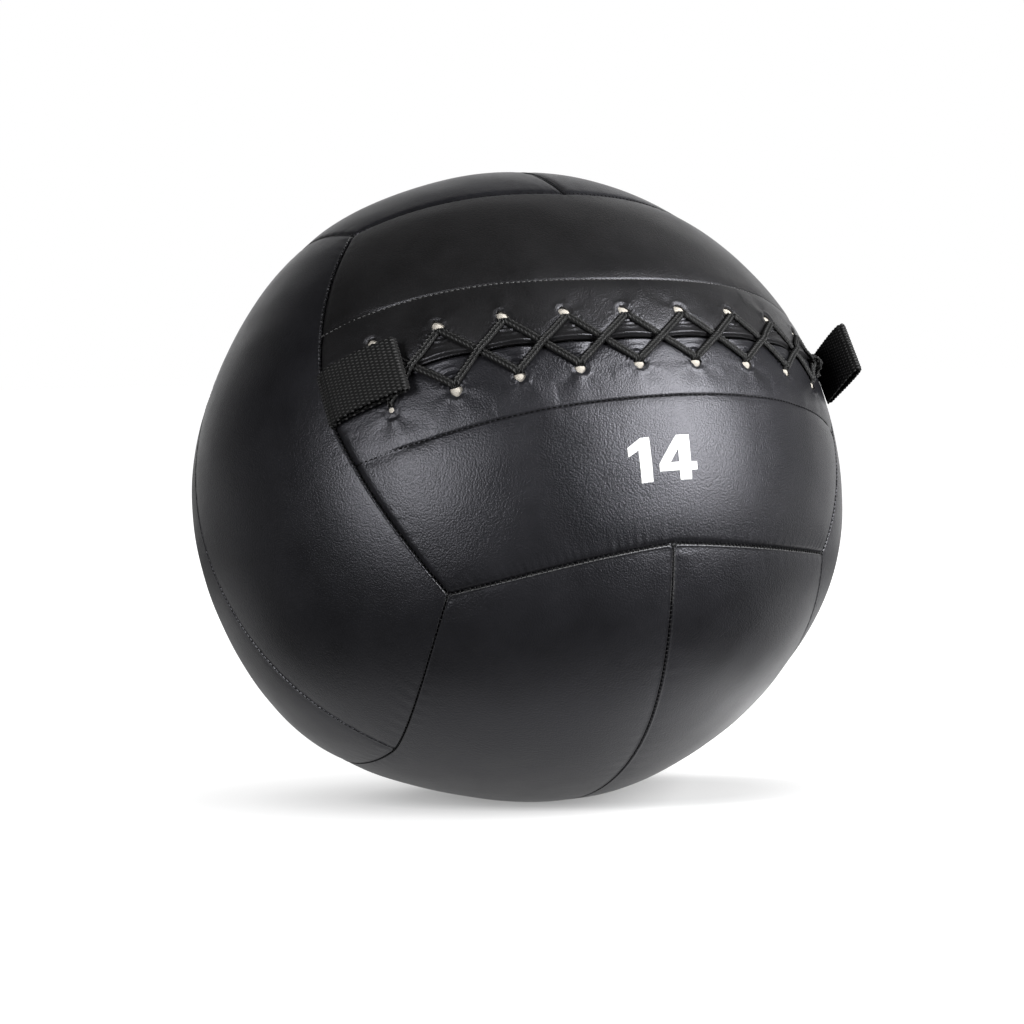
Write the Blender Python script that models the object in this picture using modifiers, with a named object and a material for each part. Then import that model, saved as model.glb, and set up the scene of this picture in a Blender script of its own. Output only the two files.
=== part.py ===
"""Laced wall ball, 14 inches across, for throwing at a wall target.

Twelve cover panels are sewn on a cube-like net: six faces, each split in two, with the splits of
neighbouring faces at right angles. The front face's split is a laced slit. A webbing loop is sewn
into the seam at each end of the slit. Inside are foam pads, a bag, stuffing and a weight pouch.

Lengths are in metres. In ball axes X points right, Y up and Z out of the lace face. The resting
ball stands at the origin with its lace face tilted back.
"""
import bpy
import bmesh
import numpy as np
from math import cos, pi, radians, sin
from mathutils import Matrix, Vector

# The ball
BALL_RADIUS = 0.178
HEIGHT_SHARE = 0.962
FLAT_DEPTH = 0.004
FACE_TILT = radians(35)

# Seam net, in angles from a face's middle
CUBE_EDGE = radians(45)
SPLIT_REACH = radians(52)
BEND_POWER = 1.33

# Cover panels: thickness, gap between neighbours, and the way they draw in at a seam
COVER = 0.0014
SEAM_GAP = 0.0005
GROOVE_DEPTH = 0.0013
GROOVE_WIDTH = 0.005
PILLOW_DEPTH = 0.0012
PILLOW_WIDTH = 0.020
SLIT_GAP = 0.0012
SLIT_DIP = 0.0009

# Layers under the cover
LAYER_GAP = 0.0007
FOAM = 0.0110
BAG_FABRIC = 0.0010
BAG_CLEARANCE = 0.0024
STUFFING_CLEARANCE = 0.0008
POUCH_RADIUS = 0.084
POUCH_FABRIC = 0.0010
HALF_GAP = 0.0004
BALL_SEGMENTS = 16
BALL_RINGS = 10

# Lacing: nine pairs of holes beside the slit, with a strip under each row and a tongue below
HOLE_PAIRS = 9
HOLES_LEFT_MARGIN = 0.0298
HOLES_RIGHT_MARGIN = 0.0454
HOLE_OFFSET = 0.0178
HOLE_LENGTH = 0.0100
HOLE_WIDTH = 0.0063
HOLE_SEGMENTS = 10
LACE_DIAMETER = 0.0034
LACE_GAP = 0.0011
HOLE_CLEARANCE = 0.0008
STRIP = 0.0012
STRIP_CLEARANCE = 0.0014
STRIP_INNER_EDGE = 0.0047
STRIP_OUTER_EDGE = 0.0378
STRIP_END_CLEARANCE = 0.0106
TONGUE = 0.0012
TONGUE_EDGE = 0.0330
TONGUE_END_CLEARANCE = 0.0136
STRIP_CELLS = (20, 3)
TONGUE_CELLS = (16, 4)
KNOT_START = 0.0080
KNOT_LENGTH = 0.0120
TAIL_RUN = 0.0045
TAIL_SPREAD = 0.0090
TURN_ANGLES = np.radians((90, 45, 0, -45, -90))
RUN_SHARES = np.array((0.25, 0.5, 0.75))
DIP_SHARES = np.array((0.7, 1.0, 0.7))
KNOT_SHARES = np.linspace(0, 1, 9)
KNOT_LEAD_SHARE = 0.7
TAIL_SHARES = np.array((0.7, 1.0))
TAIL_SPREAD_SHARES = np.array((0.6, 1.0))

# Webbing loops: a resting loop's angle is measured from the ball's normal towards the lace face
WEB_WIDTH = 0.0300
WEB = 0.0015
LOOP_LENGTH = 0.0405
LOOP_JOIN = 0.0045
ROOT_RADIUS = 0.0020
ROOT_LIFT = 0.0022
ROOT_CLEARANCE = 0.0003
TAIL_DEPTH = 0.0120
TAIL_THICKNESS = 0.0032
SLOT_CLEARANCE = 0.0004
LOOP_POINTS = 32
LEFT_LOOP_OPENING = 0.0084
RIGHT_LOOP_OPENING = 0.0088
LEFT_LOOP_REST = radians(81)
RIGHT_LOOP_REST = radians(60)
LOOPS = {"left": (-1, LEFT_LOOP_OPENING, LEFT_LOOP_REST), "right": (1, RIGHT_LOOP_OPENING, RIGHT_LOOP_REST)}

# Grid lines of a half face, from its middle to its ends or from its split to its far seam
PANEL_SHARES = (0.0, 0.04, 0.2, 0.4, 0.6, 0.8, 0.96, 1.0)
PAD_LENGTH_SHARES = (0.0, 0.2, 0.4, 0.6, 0.8, 0.96)
PAD_WIDTH_SHARES = (0.04, 0.2, 0.4, 0.6, 0.8, 0.96)
FRONT_PAD_WIDTH_SHARES = (0.36, 0.4, 0.6, 0.8, 0.96)

# The filled ball's lumps: each one's place in the stood ball's axes, and swell as a share of the radius
LUMP_SPREAD_SHARE = 0.22
LUMP_SHARES = (
    ((0.00, -0.10, 0.99), 0.0124),
    ((-0.55, 0.15, 0.82), 0.0129),
    ((-0.87, 0.24, 0.44), -0.0112),
    ((-0.67, -0.01, -0.74), 0.0258),
    ((-0.32, -0.20, -0.93), -0.0096),
    ((0.10, -0.39, -0.92), 0.0140),
    ((0.77, -0.60, -0.23), 0.0152),
    ((0.80, -0.56, 0.19), -0.0067),
    ((0.35, 0.90, 0.20), 0.0112),
    ((-0.20, 0.80, -0.56), -0.0084),
)

# Where sewing has pulled the seams off the even net, in ball axes and as shares of the radius
DRIFT_SPREAD_SHARE = 0.36
DRIFT_SHARES = (
    ((0.00, -0.60, 0.80), (-0.0202, 0.1056, -0.1006)),
    ((0.00, 0.60, 0.80), (-0.0264, -0.0607, 0.0298)),
    ((0.00, 0.00, 1.00), (-0.0281, -0.0831, 0.0298)),
    ((0.62, 0.00, 0.78), (0.0275, 0.0000, -0.0045)),
    ((-0.62, 0.00, 0.78), (0.0331, -0.0135, -0.0472)),
    ((-1.00, -0.10, 0.00), (0.0303, 0.0213, -0.0601)),
    ((-0.85, -0.50, 0.00), (0.0528, -0.0433, -0.0393)),
    ((0.00, -1.00, 0.15), (0.0360, 0.0022, -0.0152)),
    ((-0.66, -0.37, 0.66), (0.0281, -0.0056, -0.0022)),
    ((0.45, 0.65, 0.60), (0.0062, -0.0506, 0.0253)),
)

RIGHT = np.array((1.0, 0.0, 0.0))
UP = np.array((0.0, 1.0, 0.0))
OUT = np.array((0.0, 0.0, 1.0))
FACES = {
    "front": (OUT, RIGHT, UP, ("upper", "lower")),
    "rear": (-OUT, RIGHT, UP, ("upper", "lower")),
    "left": (-RIGHT, UP, OUT, ("front", "rear")),
    "right": (RIGHT, UP, OUT, ("front", "rear")),
    "top": (UP, OUT, RIGHT, ("right", "left")),
    "bottom": (-UP, OUT, RIGHT, ("right", "left")),
}
BALL_AXES = np.array(((1, 0, 0), (0, sin(FACE_TILT), -cos(FACE_TILT)), (0, cos(FACE_TILT), sin(FACE_TILT))))
FOAM_DEPTH = COVER + LAYER_GAP
BAG_DEPTH = FOAM_DEPTH + FOAM + BAG_CLEARANCE
STRIP_DEPTH = COVER + STRIP_CLEARANCE
LACE_RADIUS = LACE_DIAMETER / 2
SLIT_REACH = SPLIT_REACH * BALL_RADIUS


def unit(vectors):
    return vectors / np.linalg.norm(vectors, axis=-1, keepdims=True)


def drifted(directions):
    """Shift unit directions by the drift of the sewing, strongest at each drift's middle."""
    moved = np.array(directions, dtype=float)
    for centre, shares in DRIFT_SHARES:
        away = np.sum((directions - unit(np.array(centre))) ** 2, axis=-1, keepdims=True)
        moved = moved + np.exp(-away / (2 * DRIFT_SPREAD_SHARE ** 2)) * np.array(shares)
    return unit(moved)


def in_ball(rays, depth, drawn=0.0):
    """Points of the stood ball: along each unit ray from its centre, depth below the cover.

    A seam pulls them in by drawn as well, but not where the ball is pressed flat on the floor.
    """
    reach = np.full(len(rays), BALL_RADIUS)
    for centre, share in LUMP_SHARES:
        away = np.sum((rays - unit(np.array(centre))) ** 2, axis=-1)
        reach += BALL_RADIUS * share * np.exp(-away / (2 * LUMP_SPREAD_SHARE ** 2))
    depth = np.broadcast_to(depth, reach.shape)
    points = rays * (reach - depth - drawn)[:, None] * np.array((1.0, 1.0, HEIGHT_SHARE))
    half_height = BALL_RADIUS * HEIGHT_SHARE - FLAT_DEPTH
    floor = depth * HEIGHT_SHARE - half_height
    below = points[:, 2] < floor
    points[below] *= (floor[below] / points[below, 2])[:, None]
    return points + np.array((0.0, 0.0, half_height))


def on_ball(directions, depth, drawn=0.0):
    """Points of the sewn cover's net: along ball-axes directions, depth below the cover."""
    return in_ball(drifted(np.atleast_2d(directions)) @ BALL_AXES.T, depth, drawn)


def lace_direction(along, across):
    """Direction at arc lengths along the slit, to the right, and across it, upwards."""
    a, b = np.asarray(along) / BALL_RADIUS, np.asarray(across) / BALL_RADIUS
    return np.stack((np.cos(b) * np.sin(a), np.sin(b) + 0 * a, np.cos(b) * np.cos(a)), axis=-1)


def seam_bend(share):
    """Angle by which a cube edge of the net bows out, from its middle (0) to its ends (1)."""
    return (SPLIT_REACH - CUBE_EDGE) * (1 - np.abs(share) ** BEND_POWER)


def panel_angles(s, v):
    """Angles along and across a face for a half face's shares: s along its split, v away from it.

    With t(s) = sqrt 2 tan(s atan(1 / sqrt 2)), which spaces the lines evenly along a cube edge:
    X = s (45 + bend(t(v))) + v (atan(t(s) / (sqrt 2 cos(45 - bend(t(s))))) - 45 s)
    Y = atan(t(v) / (sqrt 2 cos(45 + bend(t(v))))) - v bend(t(s))
    """
    root = np.sqrt(2)
    along_edge, along_end = (root * np.tan(share * np.arctan(1 / root)) for share in (s, v))
    long_edge = np.arctan(along_edge / (root * np.cos(CUBE_EDGE - seam_bend(along_edge))))
    end = np.arctan(along_end / (root * np.cos(CUBE_EDGE + seam_bend(along_end))))
    x = s * (CUBE_EDGE + seam_bend(along_end)) + v * (long_edge - CUBE_EDGE * s)
    return x, end - v * seam_bend(along_edge)


def panel_grid(face, side, length_shares, width_shares, seam_gap=0.0, split_gap=0.0):
    """Directions of a half face's grid, its distances from seam and split, its shape and its turn.

    The grid's edges lie half of seam_gap inside the seams and half of split_gap off the split.
    """
    axis, along, across, _ = FACES[face]
    across = across * side
    s = np.concatenate((-np.array(length_shares)[:0:-1], length_shares))
    shape = (len(s), len(width_shares))
    s, v = (grid.ravel() for grid in np.meshgrid(s, width_shares, indexing="ij"))
    x, y = panel_angles(s, v)
    x = x - s * seam_gap / 2 / BALL_RADIUS
    y = y + (split_gap * (1 - v) - seam_gap * v) / 2 / BALL_RADIUS
    directions = unit(axis + np.tan(x)[:, None] * along + np.tan(y)[:, None] * across)
    seam = np.minimum((1 - np.abs(s)) * SPLIT_REACH, (1 - v) * CUBE_EDGE) * BALL_RADIUS
    split = v * CUBE_EDGE * BALL_RADIUS
    if face != "front":
        seam = np.minimum(seam, split)
    return directions, seam, split, shape, np.dot(np.cross(along, across), axis) < 0


def grid_faces(shape, flip):
    columns, rows = shape
    index = np.arange(columns * rows).reshape(columns, rows)
    corners = (index[:-1, :-1], index[1:, :-1], index[1:, 1:], index[:-1, 1:])
    quads = np.stack(corners, axis=-1).reshape(-1, 4)
    return quads[:, ::-1] if flip else quads


def pillow(distance):
    """How far the filled cover draws in at this distance from a seam."""
    return PILLOW_DEPTH * np.exp(-(distance / PILLOW_WIDTH) ** 2)


def groove(distance, depth):
    """How deep an edge's own groove is at this distance from it."""
    return depth * np.exp(-(distance / GROOVE_WIDTH) ** 2)


def collection(name):
    made = bpy.data.collections.new(name)
    bpy.context.scene.collection.children.link(made)
    return made


def material(name, colour, roughness, metallic=0.0):
    made = bpy.data.materials.new(name)
    made.use_nodes = True
    shader = made.node_tree.nodes["Principled BSDF"]
    shader.inputs["Base Color"].default_value = (*colour, 1.0)
    shader.inputs["Roughness"].default_value = roughness
    shader.inputs["Metallic"].default_value = metallic
    return made


def add(name, data, look, home, smooth_angle=radians(40)):
    """Put a mesh or curve in a collection under a name, with its material and smooth shading."""
    piece = bpy.data.objects.new(name, data)
    home.objects.link(piece)
    if look is None:
        piece.hide_render = True
        piece.display_type = "WIRE"
        return piece
    data.materials.append(look)
    if isinstance(data, bpy.types.Mesh):
        data.shade_smooth()
        data.set_sharp_from_angle(angle=smooth_angle)
    return piece


def mesh_from(name, points, faces):
    mesh = bpy.data.meshes.new(name)
    mesh.from_pydata([tuple(p) for p in points], [], [tuple(int(i) for i in f) for f in faces])
    mesh.update()
    return mesh


def thicken(piece, thickness):
    shell = piece.modifiers.new("thickness", "SOLIDIFY")
    shell.thickness = thickness
    shell.offset = -1
    shell.use_even_offset = True


def cut(piece, cutter):
    hole = piece.modifiers.new("cut", "BOOLEAN")
    hole.operation = "DIFFERENCE"
    hole.object = cutter


def surface_frame(along, lift):
    """Place on the lace face's middle line: X to the right, Y up and Z out of the ball."""
    right = on_ball(lace_direction(along + WEB, 0.0), 0.0) - on_ball(lace_direction(along - WEB, 0.0), 0.0)
    up = on_ball(lace_direction(along, WEB), 0.0) - on_ball(lace_direction(along, -WEB), 0.0)
    y = unit(up[0])
    z = unit(np.cross(unit(right[0]), y))
    x = np.cross(y, z)
    origin = on_ball(lace_direction(along, 0.0), -lift)[0]
    return Matrix([[*row, o] for row, o in zip(np.stack((x, y, z), axis=1), origin)] + [[0, 0, 0, 1]])


def make_cover(look, home):
    """Twelve coated panels, drawn in at every seam, with rolled edges at the slit."""
    panels = {}
    for face, (_, _, _, sides) in FACES.items():
        split_gap = SLIT_GAP if face == "front" else SEAM_GAP
        for side, word in zip((1, -1), sides):
            directions, seam, split, shape, flip = panel_grid(
                face, side, PANEL_SHARES, PANEL_SHARES, SEAM_GAP, split_gap)
            drawn = pillow(seam) + groove(seam, GROOVE_DEPTH)
            if face == "front":
                drawn = drawn + groove(split, SLIT_DIP)
            name = face + "_" + word
            mesh = mesh_from(name, on_ball(directions, 0.0, drawn), grid_faces(shape, flip))
            panels[name] = add(name, mesh, look, home)
            thicken(panels[name], COVER)
    return panels


def make_foam(look, home):
    """A foam pad behind each panel, short of the seams and of the strips under the lace holes."""
    pads = {}
    for face, (_, _, _, sides) in FACES.items():
        width_shares = FRONT_PAD_WIDTH_SHARES if face == "front" else PAD_WIDTH_SHARES
        for side, word in zip((1, -1), sides):
            directions, seam, _, shape, flip = panel_grid(face, side, PAD_LENGTH_SHARES, width_shares)
            name = face + "_" + word + "_foam"
            points = on_ball(directions, FOAM_DEPTH, pillow(seam))
            pads[name] = add(name, mesh_from(name, points, grid_faces(shape, flip)), look, home)
            thicken(pads[name], FOAM)
    return pads


def ribbon(name, reach, low, high, depth, thickness, cells, look, home):
    """A strip of sheet that follows the ball along the slit, between two distances across it."""
    along, across = np.linspace(-reach, reach, cells[0] + 1), np.linspace(low, high, cells[1] + 1)
    along, across = (grid.ravel() for grid in np.meshgrid(along, across, indexing="ij"))
    from_seam = SLIT_REACH - np.abs(along)
    points = on_ball(lace_direction(along, across), depth, pillow(from_seam))
    mesh = mesh_from(name, points, grid_faces((cells[0] + 1, cells[1] + 1), False))
    strip = add(name, mesh, look, home)
    thicken(strip, thickness)
    return strip


def hole_places():
    """Where the pairs of lace holes are along the slit, evenly between their margins at its ends."""
    return np.linspace(HOLES_LEFT_MARGIN - SLIT_REACH, SLIT_REACH - HOLES_RIGHT_MARGIN, HOLE_PAIRS)


def make_hole_cutter(name, side, home):
    """The oval punch for one row of lace holes, one cylinder a hole, square to the surface."""
    punch = bmesh.new()
    height = 2 * (STRIP_DEPTH + STRIP) + STRIP_CLEARANCE
    for along in hole_places():
        across = side * (HOLE_OFFSET - HOLE_CLEARANCE / 2)
        frame = surface_frame(along, 0.0)
        place = on_ball(lace_direction(along, across), (STRIP_DEPTH + STRIP) / 2)[0]
        outward = Vector(place - on_ball(lace_direction(along, across), STRIP_DEPTH * 2)[0]).normalized()
        right = frame.to_3x3().col[0]
        up = outward.cross(right).normalized()
        turn = Matrix((up.cross(outward), up, outward)).transposed().to_4x4()
        size = Matrix.Diagonal((HOLE_LENGTH, HOLE_WIDTH, height, 1.0))
        bmesh.ops.create_cone(punch, cap_ends=True, segments=HOLE_SEGMENTS, radius1=1 / 2, radius2=1 / 2,
                              depth=1, matrix=Matrix.Translation(Vector(place)) @ turn @ size)
    mesh = bpy.data.meshes.new(name)
    punch.to_mesh(mesh)
    punch.free()
    return add(name, mesh, None, home)


def hole_turn(along, across, slant, outward):
    """A lace strand's turn through a hole, round the wall's edge, as (along, across, lift) rows.

    The turn is a half circle square to the slit. Its top leans along the slit by slant.
    """
    wall = STRIP_DEPTH + STRIP
    radius = wall / 2 + HOLE_CLEARANCE + LACE_RADIUS
    rows = np.stack((
        along + slant * np.maximum(np.sin(TURN_ANGLES), 0) ** 2,
        across - np.sign(across) * radius * (1 - np.cos(TURN_ANGLES)),
        radius * np.sin(TURN_ANGLES) - wall / 2,
    ), axis=1)
    return rows if outward else rows[::-1]


def lace_half(hand):
    """One end of the lace from the middle of the first pair to its tail.

    The end comes up through a hole, crosses over to the next pair's opposite hole, goes down and
    passes straight under to come up again. The end of hand 1 lies over the other at each crossing
    outside, and the other lies below it inside.
    """
    spacing = (LACE_DIAMETER + LACE_GAP) / 2
    slant = LACE_RADIUS
    stack = LACE_DIAMETER + LACE_GAP
    places = hole_places()
    up = hole_turn(places[0], -hand * HOLE_OFFSET, slant, False)
    rows = [np.array(((places[0], -hand * HOLE_OFFSET / 2, up[0, 2]),)), up]
    top, under = up[-1, 2], up[0, 2]
    for along in places[1:]:
        down = hole_turn(along - spacing, hand * HOLE_OFFSET, -slant, True)
        last = rows[-1][-1]
        run = last + (down[0] - last) * RUN_SHARES[:, None]
        crest = stack if hand > 0 else -SLIT_DIP
        run[:, 2] += crest * np.sin(pi * RUN_SHARES) ** 2
        dip = 0.0 if hand > 0 else -stack
        shift = np.array((-1.0, 0.0, 1.0))
        level = under + dip * DIP_SHARES
        below = np.stack((along + shift * spacing, -hand * shift * HOLE_OFFSET / 3, level), axis=1)
        up = hole_turn(along + spacing, -hand * HOLE_OFFSET, slant, False)
        rows += [run, down, below, up]
    knot = places[-1] + KNOT_START
    radius = stack / 2 + LACE_GAP / 4
    middle = top + radius / 2
    rows.append(np.array(((places[-1] + KNOT_START * KNOT_LEAD_SHARE, -hand * HOLE_OFFSET / 2, top),)))
    rows.append(np.stack((
        knot + KNOT_LENGTH * KNOT_SHARES,
        -hand * radius * np.cos(2 * pi * KNOT_SHARES),
        middle - hand * radius * np.sin(2 * pi * KNOT_SHARES),
    ), axis=1))
    rows.append(np.stack((
        knot + KNOT_LENGTH + TAIL_RUN * TAIL_SHARES,
        -hand * TAIL_SPREAD * TAIL_SPREAD_SHARES,
        np.full(len(TAIL_SHARES), top),
    ), axis=1))
    return np.concatenate(rows)


def least_gap(points):
    """Least clear distance between parts of the lace that are far apart along it."""
    share = np.linspace(0, 1, 8, endpoint=False)[:, None, None]
    dense = (points[:-1] + (points[1:] - points[:-1]) * share).transpose(1, 0, 2).reshape(-1, 3)
    run = np.concatenate(([0.0], np.cumsum(np.linalg.norm(np.diff(dense, axis=0), axis=1))))
    least = BALL_RADIUS
    for i in range(len(dense)):
        far = run > run[i] + pi * LACE_DIAMETER
        if far.any():
            least = min(least, np.linalg.norm(dense[far] - dense[i], axis=1).min())
    return least - LACE_DIAMETER


def make_lace(look, home):
    """The whole lace as one round tube along its real route."""
    under_middle = np.array(((hole_places()[0], 0.0, lace_half(1)[0, 2]),))
    route = np.concatenate((lace_half(-1)[::-1], under_middle, lace_half(1)))
    points = on_ball(lace_direction(route[:, 0], route[:, 1]), -route[:, 2])
    curve = bpy.data.curves.new("lace", "CURVE")
    curve.dimensions = "3D"
    line = curve.splines.new("POLY")
    line.points.add(len(points) - 1)
    for point, place in zip(line.points, points):
        point.co = (*place, 1.0)
    curve.bevel_depth = LACE_RADIUS
    curve.bevel_resolution = 1
    curve.use_fill_caps = True
    add("lace", curve, look, home)
    length = np.linalg.norm(np.diff(points, axis=0), axis=1).sum()
    print("lace length %.3f m, least gap to itself %.2f mm" % (length, least_gap(points) * 1000))


def loop_outline(opening):
    """Inner and outer outline of a webbing loop seen on its edge, with X along the loop.

    The inner one is the teardrop x = join + length (1 - cos t) / 2, y = gap sin t sin(t / 2).
    The largest value of sin t sin(t / 2) is 4 / sqrt 27.
    """
    inner_length = LOOP_LENGTH - LOOP_JOIN - WEB
    half_gap = opening / 2 * np.sqrt(27) / 4
    t = np.linspace(0, 2 * pi, LOOP_POINTS + 1)[:-1]
    x = LOOP_JOIN + inner_length * (1 - np.cos(t)) / 2
    y = half_gap * np.sin(t) * np.abs(np.sin(t / 2))
    inner = np.stack((x, y), axis=1)
    ahead = unit(np.roll(inner, -1, axis=0) - np.roll(inner, 1, axis=0))
    outward = np.stack((-ahead[:, 1], ahead[:, 0]), axis=1)
    rim = inner[2:-1] + outward[2:-1] * WEB
    around = pi - np.linspace(-0.7 * pi, 0.7 * pi, 9)
    root = np.stack((np.cos(around), np.sin(around)), axis=1) * ROOT_RADIUS
    return inner, np.concatenate((rim, root))[::-1]


def add_outline(curve, points):
    line = curve.splines.new("POLY")
    line.points.add(len(points) - 1)
    for point, (x, y) in zip(line.points, points):
        point.co = (x, y, 0.0, 1.0)
    line.use_cyclic_u = True


def add_block(name, size, top, place, look, home):
    """A block in a place's own frame, with its top face at this height there."""
    shape = bmesh.new()
    middle = Matrix.Translation((0, 0, top - size[2] / 2))
    bmesh.ops.create_cube(shape, size=1, matrix=middle @ Matrix.Diagonal((*size, 1)))
    mesh = bpy.data.meshes.new(name)
    shape.to_mesh(mesh)
    shape.free()
    block = add(name, mesh, look, home)
    block.matrix_world = place
    return block


def make_loops(sewn, look, home, cutters):
    """Two webbing loops, each hinged on its sewn root, and the tail that holds it in the seam."""
    for name, (hand, opening, rest) in LOOPS.items():
        place = surface_frame(hand * SLIT_REACH, ROOT_LIFT)
        hinge = bpy.data.objects.new(name + "_loop_hinge", None)
        home.objects.link(hinge)
        hinge.matrix_world = place
        curve = bpy.data.curves.new(name + "_loop", "CURVE")
        curve.dimensions = "2D"
        curve.fill_mode = "BOTH"
        for outline in loop_outline(opening):
            add_outline(curve, outline)
        curve.extrude = WEB_WIDTH / 2
        loop = add(name + "_loop", curve, look, home)
        loop.parent = hinge
        lean = pi / 2 + hand * rest
        loop.rotation_euler = (pi / 2, -lean, 0)
        top = -ROOT_RADIUS - ROOT_CLEARANCE
        size = np.array((TAIL_THICKNESS, WEB_WIDTH, TAIL_DEPTH))
        add_block(name + "_loop_tail", size, top, place, look, home)
        slot_size = size + SLOT_CLEARANCE * np.array((2, 2, 1)) + np.array((0.0, 0.0, ROOT_LIFT))
        slot = add_block(name + "_loop_slot", slot_size, top + ROOT_LIFT, place, None, cutters)
        for neighbour in ("front_upper", "front_lower", name + "_front", name + "_front_foam"):
            cut(sewn[neighbour], slot)


def ball_mesh(name, depth, side, closed):
    """A half of a smooth layer of the ball, to one side of its middle plane, or all of it."""
    shape = bmesh.new()
    bmesh.ops.create_uvsphere(shape, u_segments=BALL_SEGMENTS, v_segments=BALL_RINGS, radius=1)
    if side:
        everything = shape.verts[:] + shape.edges[:] + shape.faces[:]
        bmesh.ops.bisect_plane(shape, geom=everything, plane_co=(0, 0, 0), plane_no=(side, 0, 0),
                               clear_inner=True, dist=0.0001)
        if closed:
            rim = [edge for edge in shape.edges if edge.is_boundary]
            bmesh.ops.edgeloop_fill(shape, edges=rim)
    points = np.array([vertex.co for vertex in shape.verts])
    for vertex, place in zip(shape.verts, in_ball(unit(points), depth)):
        vertex.co = place + np.array((side * HALF_GAP / 2, 0, 0))
    bmesh.ops.recalc_face_normals(shape, faces=shape.faces)
    mesh = bpy.data.meshes.new(name)
    shape.to_mesh(mesh)
    shape.free()
    return mesh


def make_filling(fabric, wool, sand, home, cutters):
    """The sewn bag, the stuffing and the weight pouch, each in two halves, round the sand."""
    pouch_depth = BALL_RADIUS - POUCH_RADIUS
    space = ball_mesh("pouch_space", pouch_depth - STUFFING_CLEARANCE, 0, True)
    cavity = add("pouch_space", space, None, cutters)
    stuffing_depth = BAG_DEPTH + BAG_FABRIC + STUFFING_CLEARANCE
    for word, side in (("left", -1), ("right", 1)):
        bag = add(word + "_bag", ball_mesh(word + "_bag", BAG_DEPTH, side, False), fabric, home)
        thicken(bag, BAG_FABRIC)
        stuffing = ball_mesh(word + "_stuffing", stuffing_depth, side, True)
        cut(add(word + "_stuffing", stuffing, wool, home), cavity)
        pouch = add(word + "_pouch", ball_mesh(word + "_pouch", pouch_depth, side, False), fabric, home)
        thicken(pouch, POUCH_FABRIC)
    depth = pouch_depth + POUCH_FABRIC + STUFFING_CLEARANCE
    add("sand", ball_mesh("sand", depth, 0, True), sand, home)


def stand_at_origin(pieces):
    """Carry every piece on one empty, and move it to centre the ball's extent over the origin."""
    base = bpy.data.objects.new("ball_base", None)
    bpy.context.scene.collection.objects.link(base)
    for piece in pieces:
        if piece.parent is None:
            piece.parent = base
    graph = bpy.context.evaluated_depsgraph_get()
    places = []
    for piece in pieces:
        if piece.type != "EMPTY" and piece.display_type != "WIRE":
            mesh = piece.evaluated_get(graph).to_mesh()
            places += [piece.matrix_world @ vertex.co for vertex in mesh.vertices]
    places = np.array(places)
    middle = (places.min(axis=0) + places.max(axis=0)) / 2
    base.location = (-middle[0], -middle[1], 0.0)
    size = places.max(axis=0) - places.min(axis=0)
    print("size %.1f x %.1f x %.1f mm" % tuple(size * 1000))


def build():
    for thing in list(bpy.data.objects):
        bpy.data.objects.remove(thing)
    home, cutters = collection("wall_ball"), collection("cutters")
    leather = material("black_coated_cover", (0.012, 0.012, 0.013), 0.45)
    webbing = material("black_webbing", (0.010, 0.010, 0.011), 0.80)
    cord = material("black_lace", (0.012, 0.012, 0.012), 0.75)
    cotton = material("cream_strip", (0.72, 0.68, 0.60), 0.90)
    foam = material("grey_foam", (0.22, 0.22, 0.23), 0.95)
    canvas = material("bag_canvas", (0.35, 0.33, 0.30), 0.90)
    wool = material("shredded_stuffing", (0.30, 0.30, 0.32), 0.95)
    sand = material("weight_sand", (0.28, 0.23, 0.18), 0.95)

    panels = make_cover(leather, home)
    pads = make_foam(foam, home)
    for word, side in (("upper", 1), ("lower", -1)):
        low, high = sorted((side * STRIP_INNER_EDGE, side * STRIP_OUTER_EDGE))
        strip = ribbon(word + "_eyelet_strip", SLIT_REACH - STRIP_END_CLEARANCE, low, high,
                       STRIP_DEPTH, STRIP, STRIP_CELLS, cotton, home)
        punch = make_hole_cutter(word + "_lace_holes", side, cutters)
        cut(panels["front_" + word], punch)
        cut(strip, punch)
    tongue_depth = BAG_DEPTH - TONGUE - BAG_CLEARANCE / 2
    ribbon("tongue", SLIT_REACH - TONGUE_END_CLEARANCE, -TONGUE_EDGE, TONGUE_EDGE,
           tongue_depth, TONGUE, TONGUE_CELLS, leather, home)
    make_lace(cord, home)
    make_loops({**panels, **pads}, webbing, home, cutters)
    make_filling(canvas, wool, sand, home, cutters)
    stand_at_origin([*home.objects, *cutters.objects])


build()
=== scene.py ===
import bmesh
import bpy
import numpy as np
from mathutils import Matrix


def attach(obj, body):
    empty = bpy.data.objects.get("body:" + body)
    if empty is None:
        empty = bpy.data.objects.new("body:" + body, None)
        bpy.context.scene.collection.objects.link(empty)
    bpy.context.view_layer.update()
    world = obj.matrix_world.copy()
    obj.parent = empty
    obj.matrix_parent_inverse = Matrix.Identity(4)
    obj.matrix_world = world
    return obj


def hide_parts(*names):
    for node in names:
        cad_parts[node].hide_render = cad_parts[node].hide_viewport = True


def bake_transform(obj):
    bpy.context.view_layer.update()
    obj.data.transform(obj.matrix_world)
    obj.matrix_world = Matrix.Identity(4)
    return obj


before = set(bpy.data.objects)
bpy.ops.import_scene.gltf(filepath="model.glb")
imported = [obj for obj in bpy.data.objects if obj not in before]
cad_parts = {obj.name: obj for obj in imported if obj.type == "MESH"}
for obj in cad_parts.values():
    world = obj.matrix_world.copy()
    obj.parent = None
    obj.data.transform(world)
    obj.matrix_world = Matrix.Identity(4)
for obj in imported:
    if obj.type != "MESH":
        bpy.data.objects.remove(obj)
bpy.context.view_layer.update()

# ---- The camera ----
# It stands at the height of the ball, somewhat to the left of the lacing, a few ball widths away.
# Its lens and small shift give the framing of a square picture.
VIEW_TURN, VIEW_TILT = np.radians((-25.0, 6.5))
VIEW_DISTANCE = 0.89
VIEW_MIDDLE = np.array((0.0, 0.0, 0.1672))
VIEW_LENS = 56.0
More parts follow.
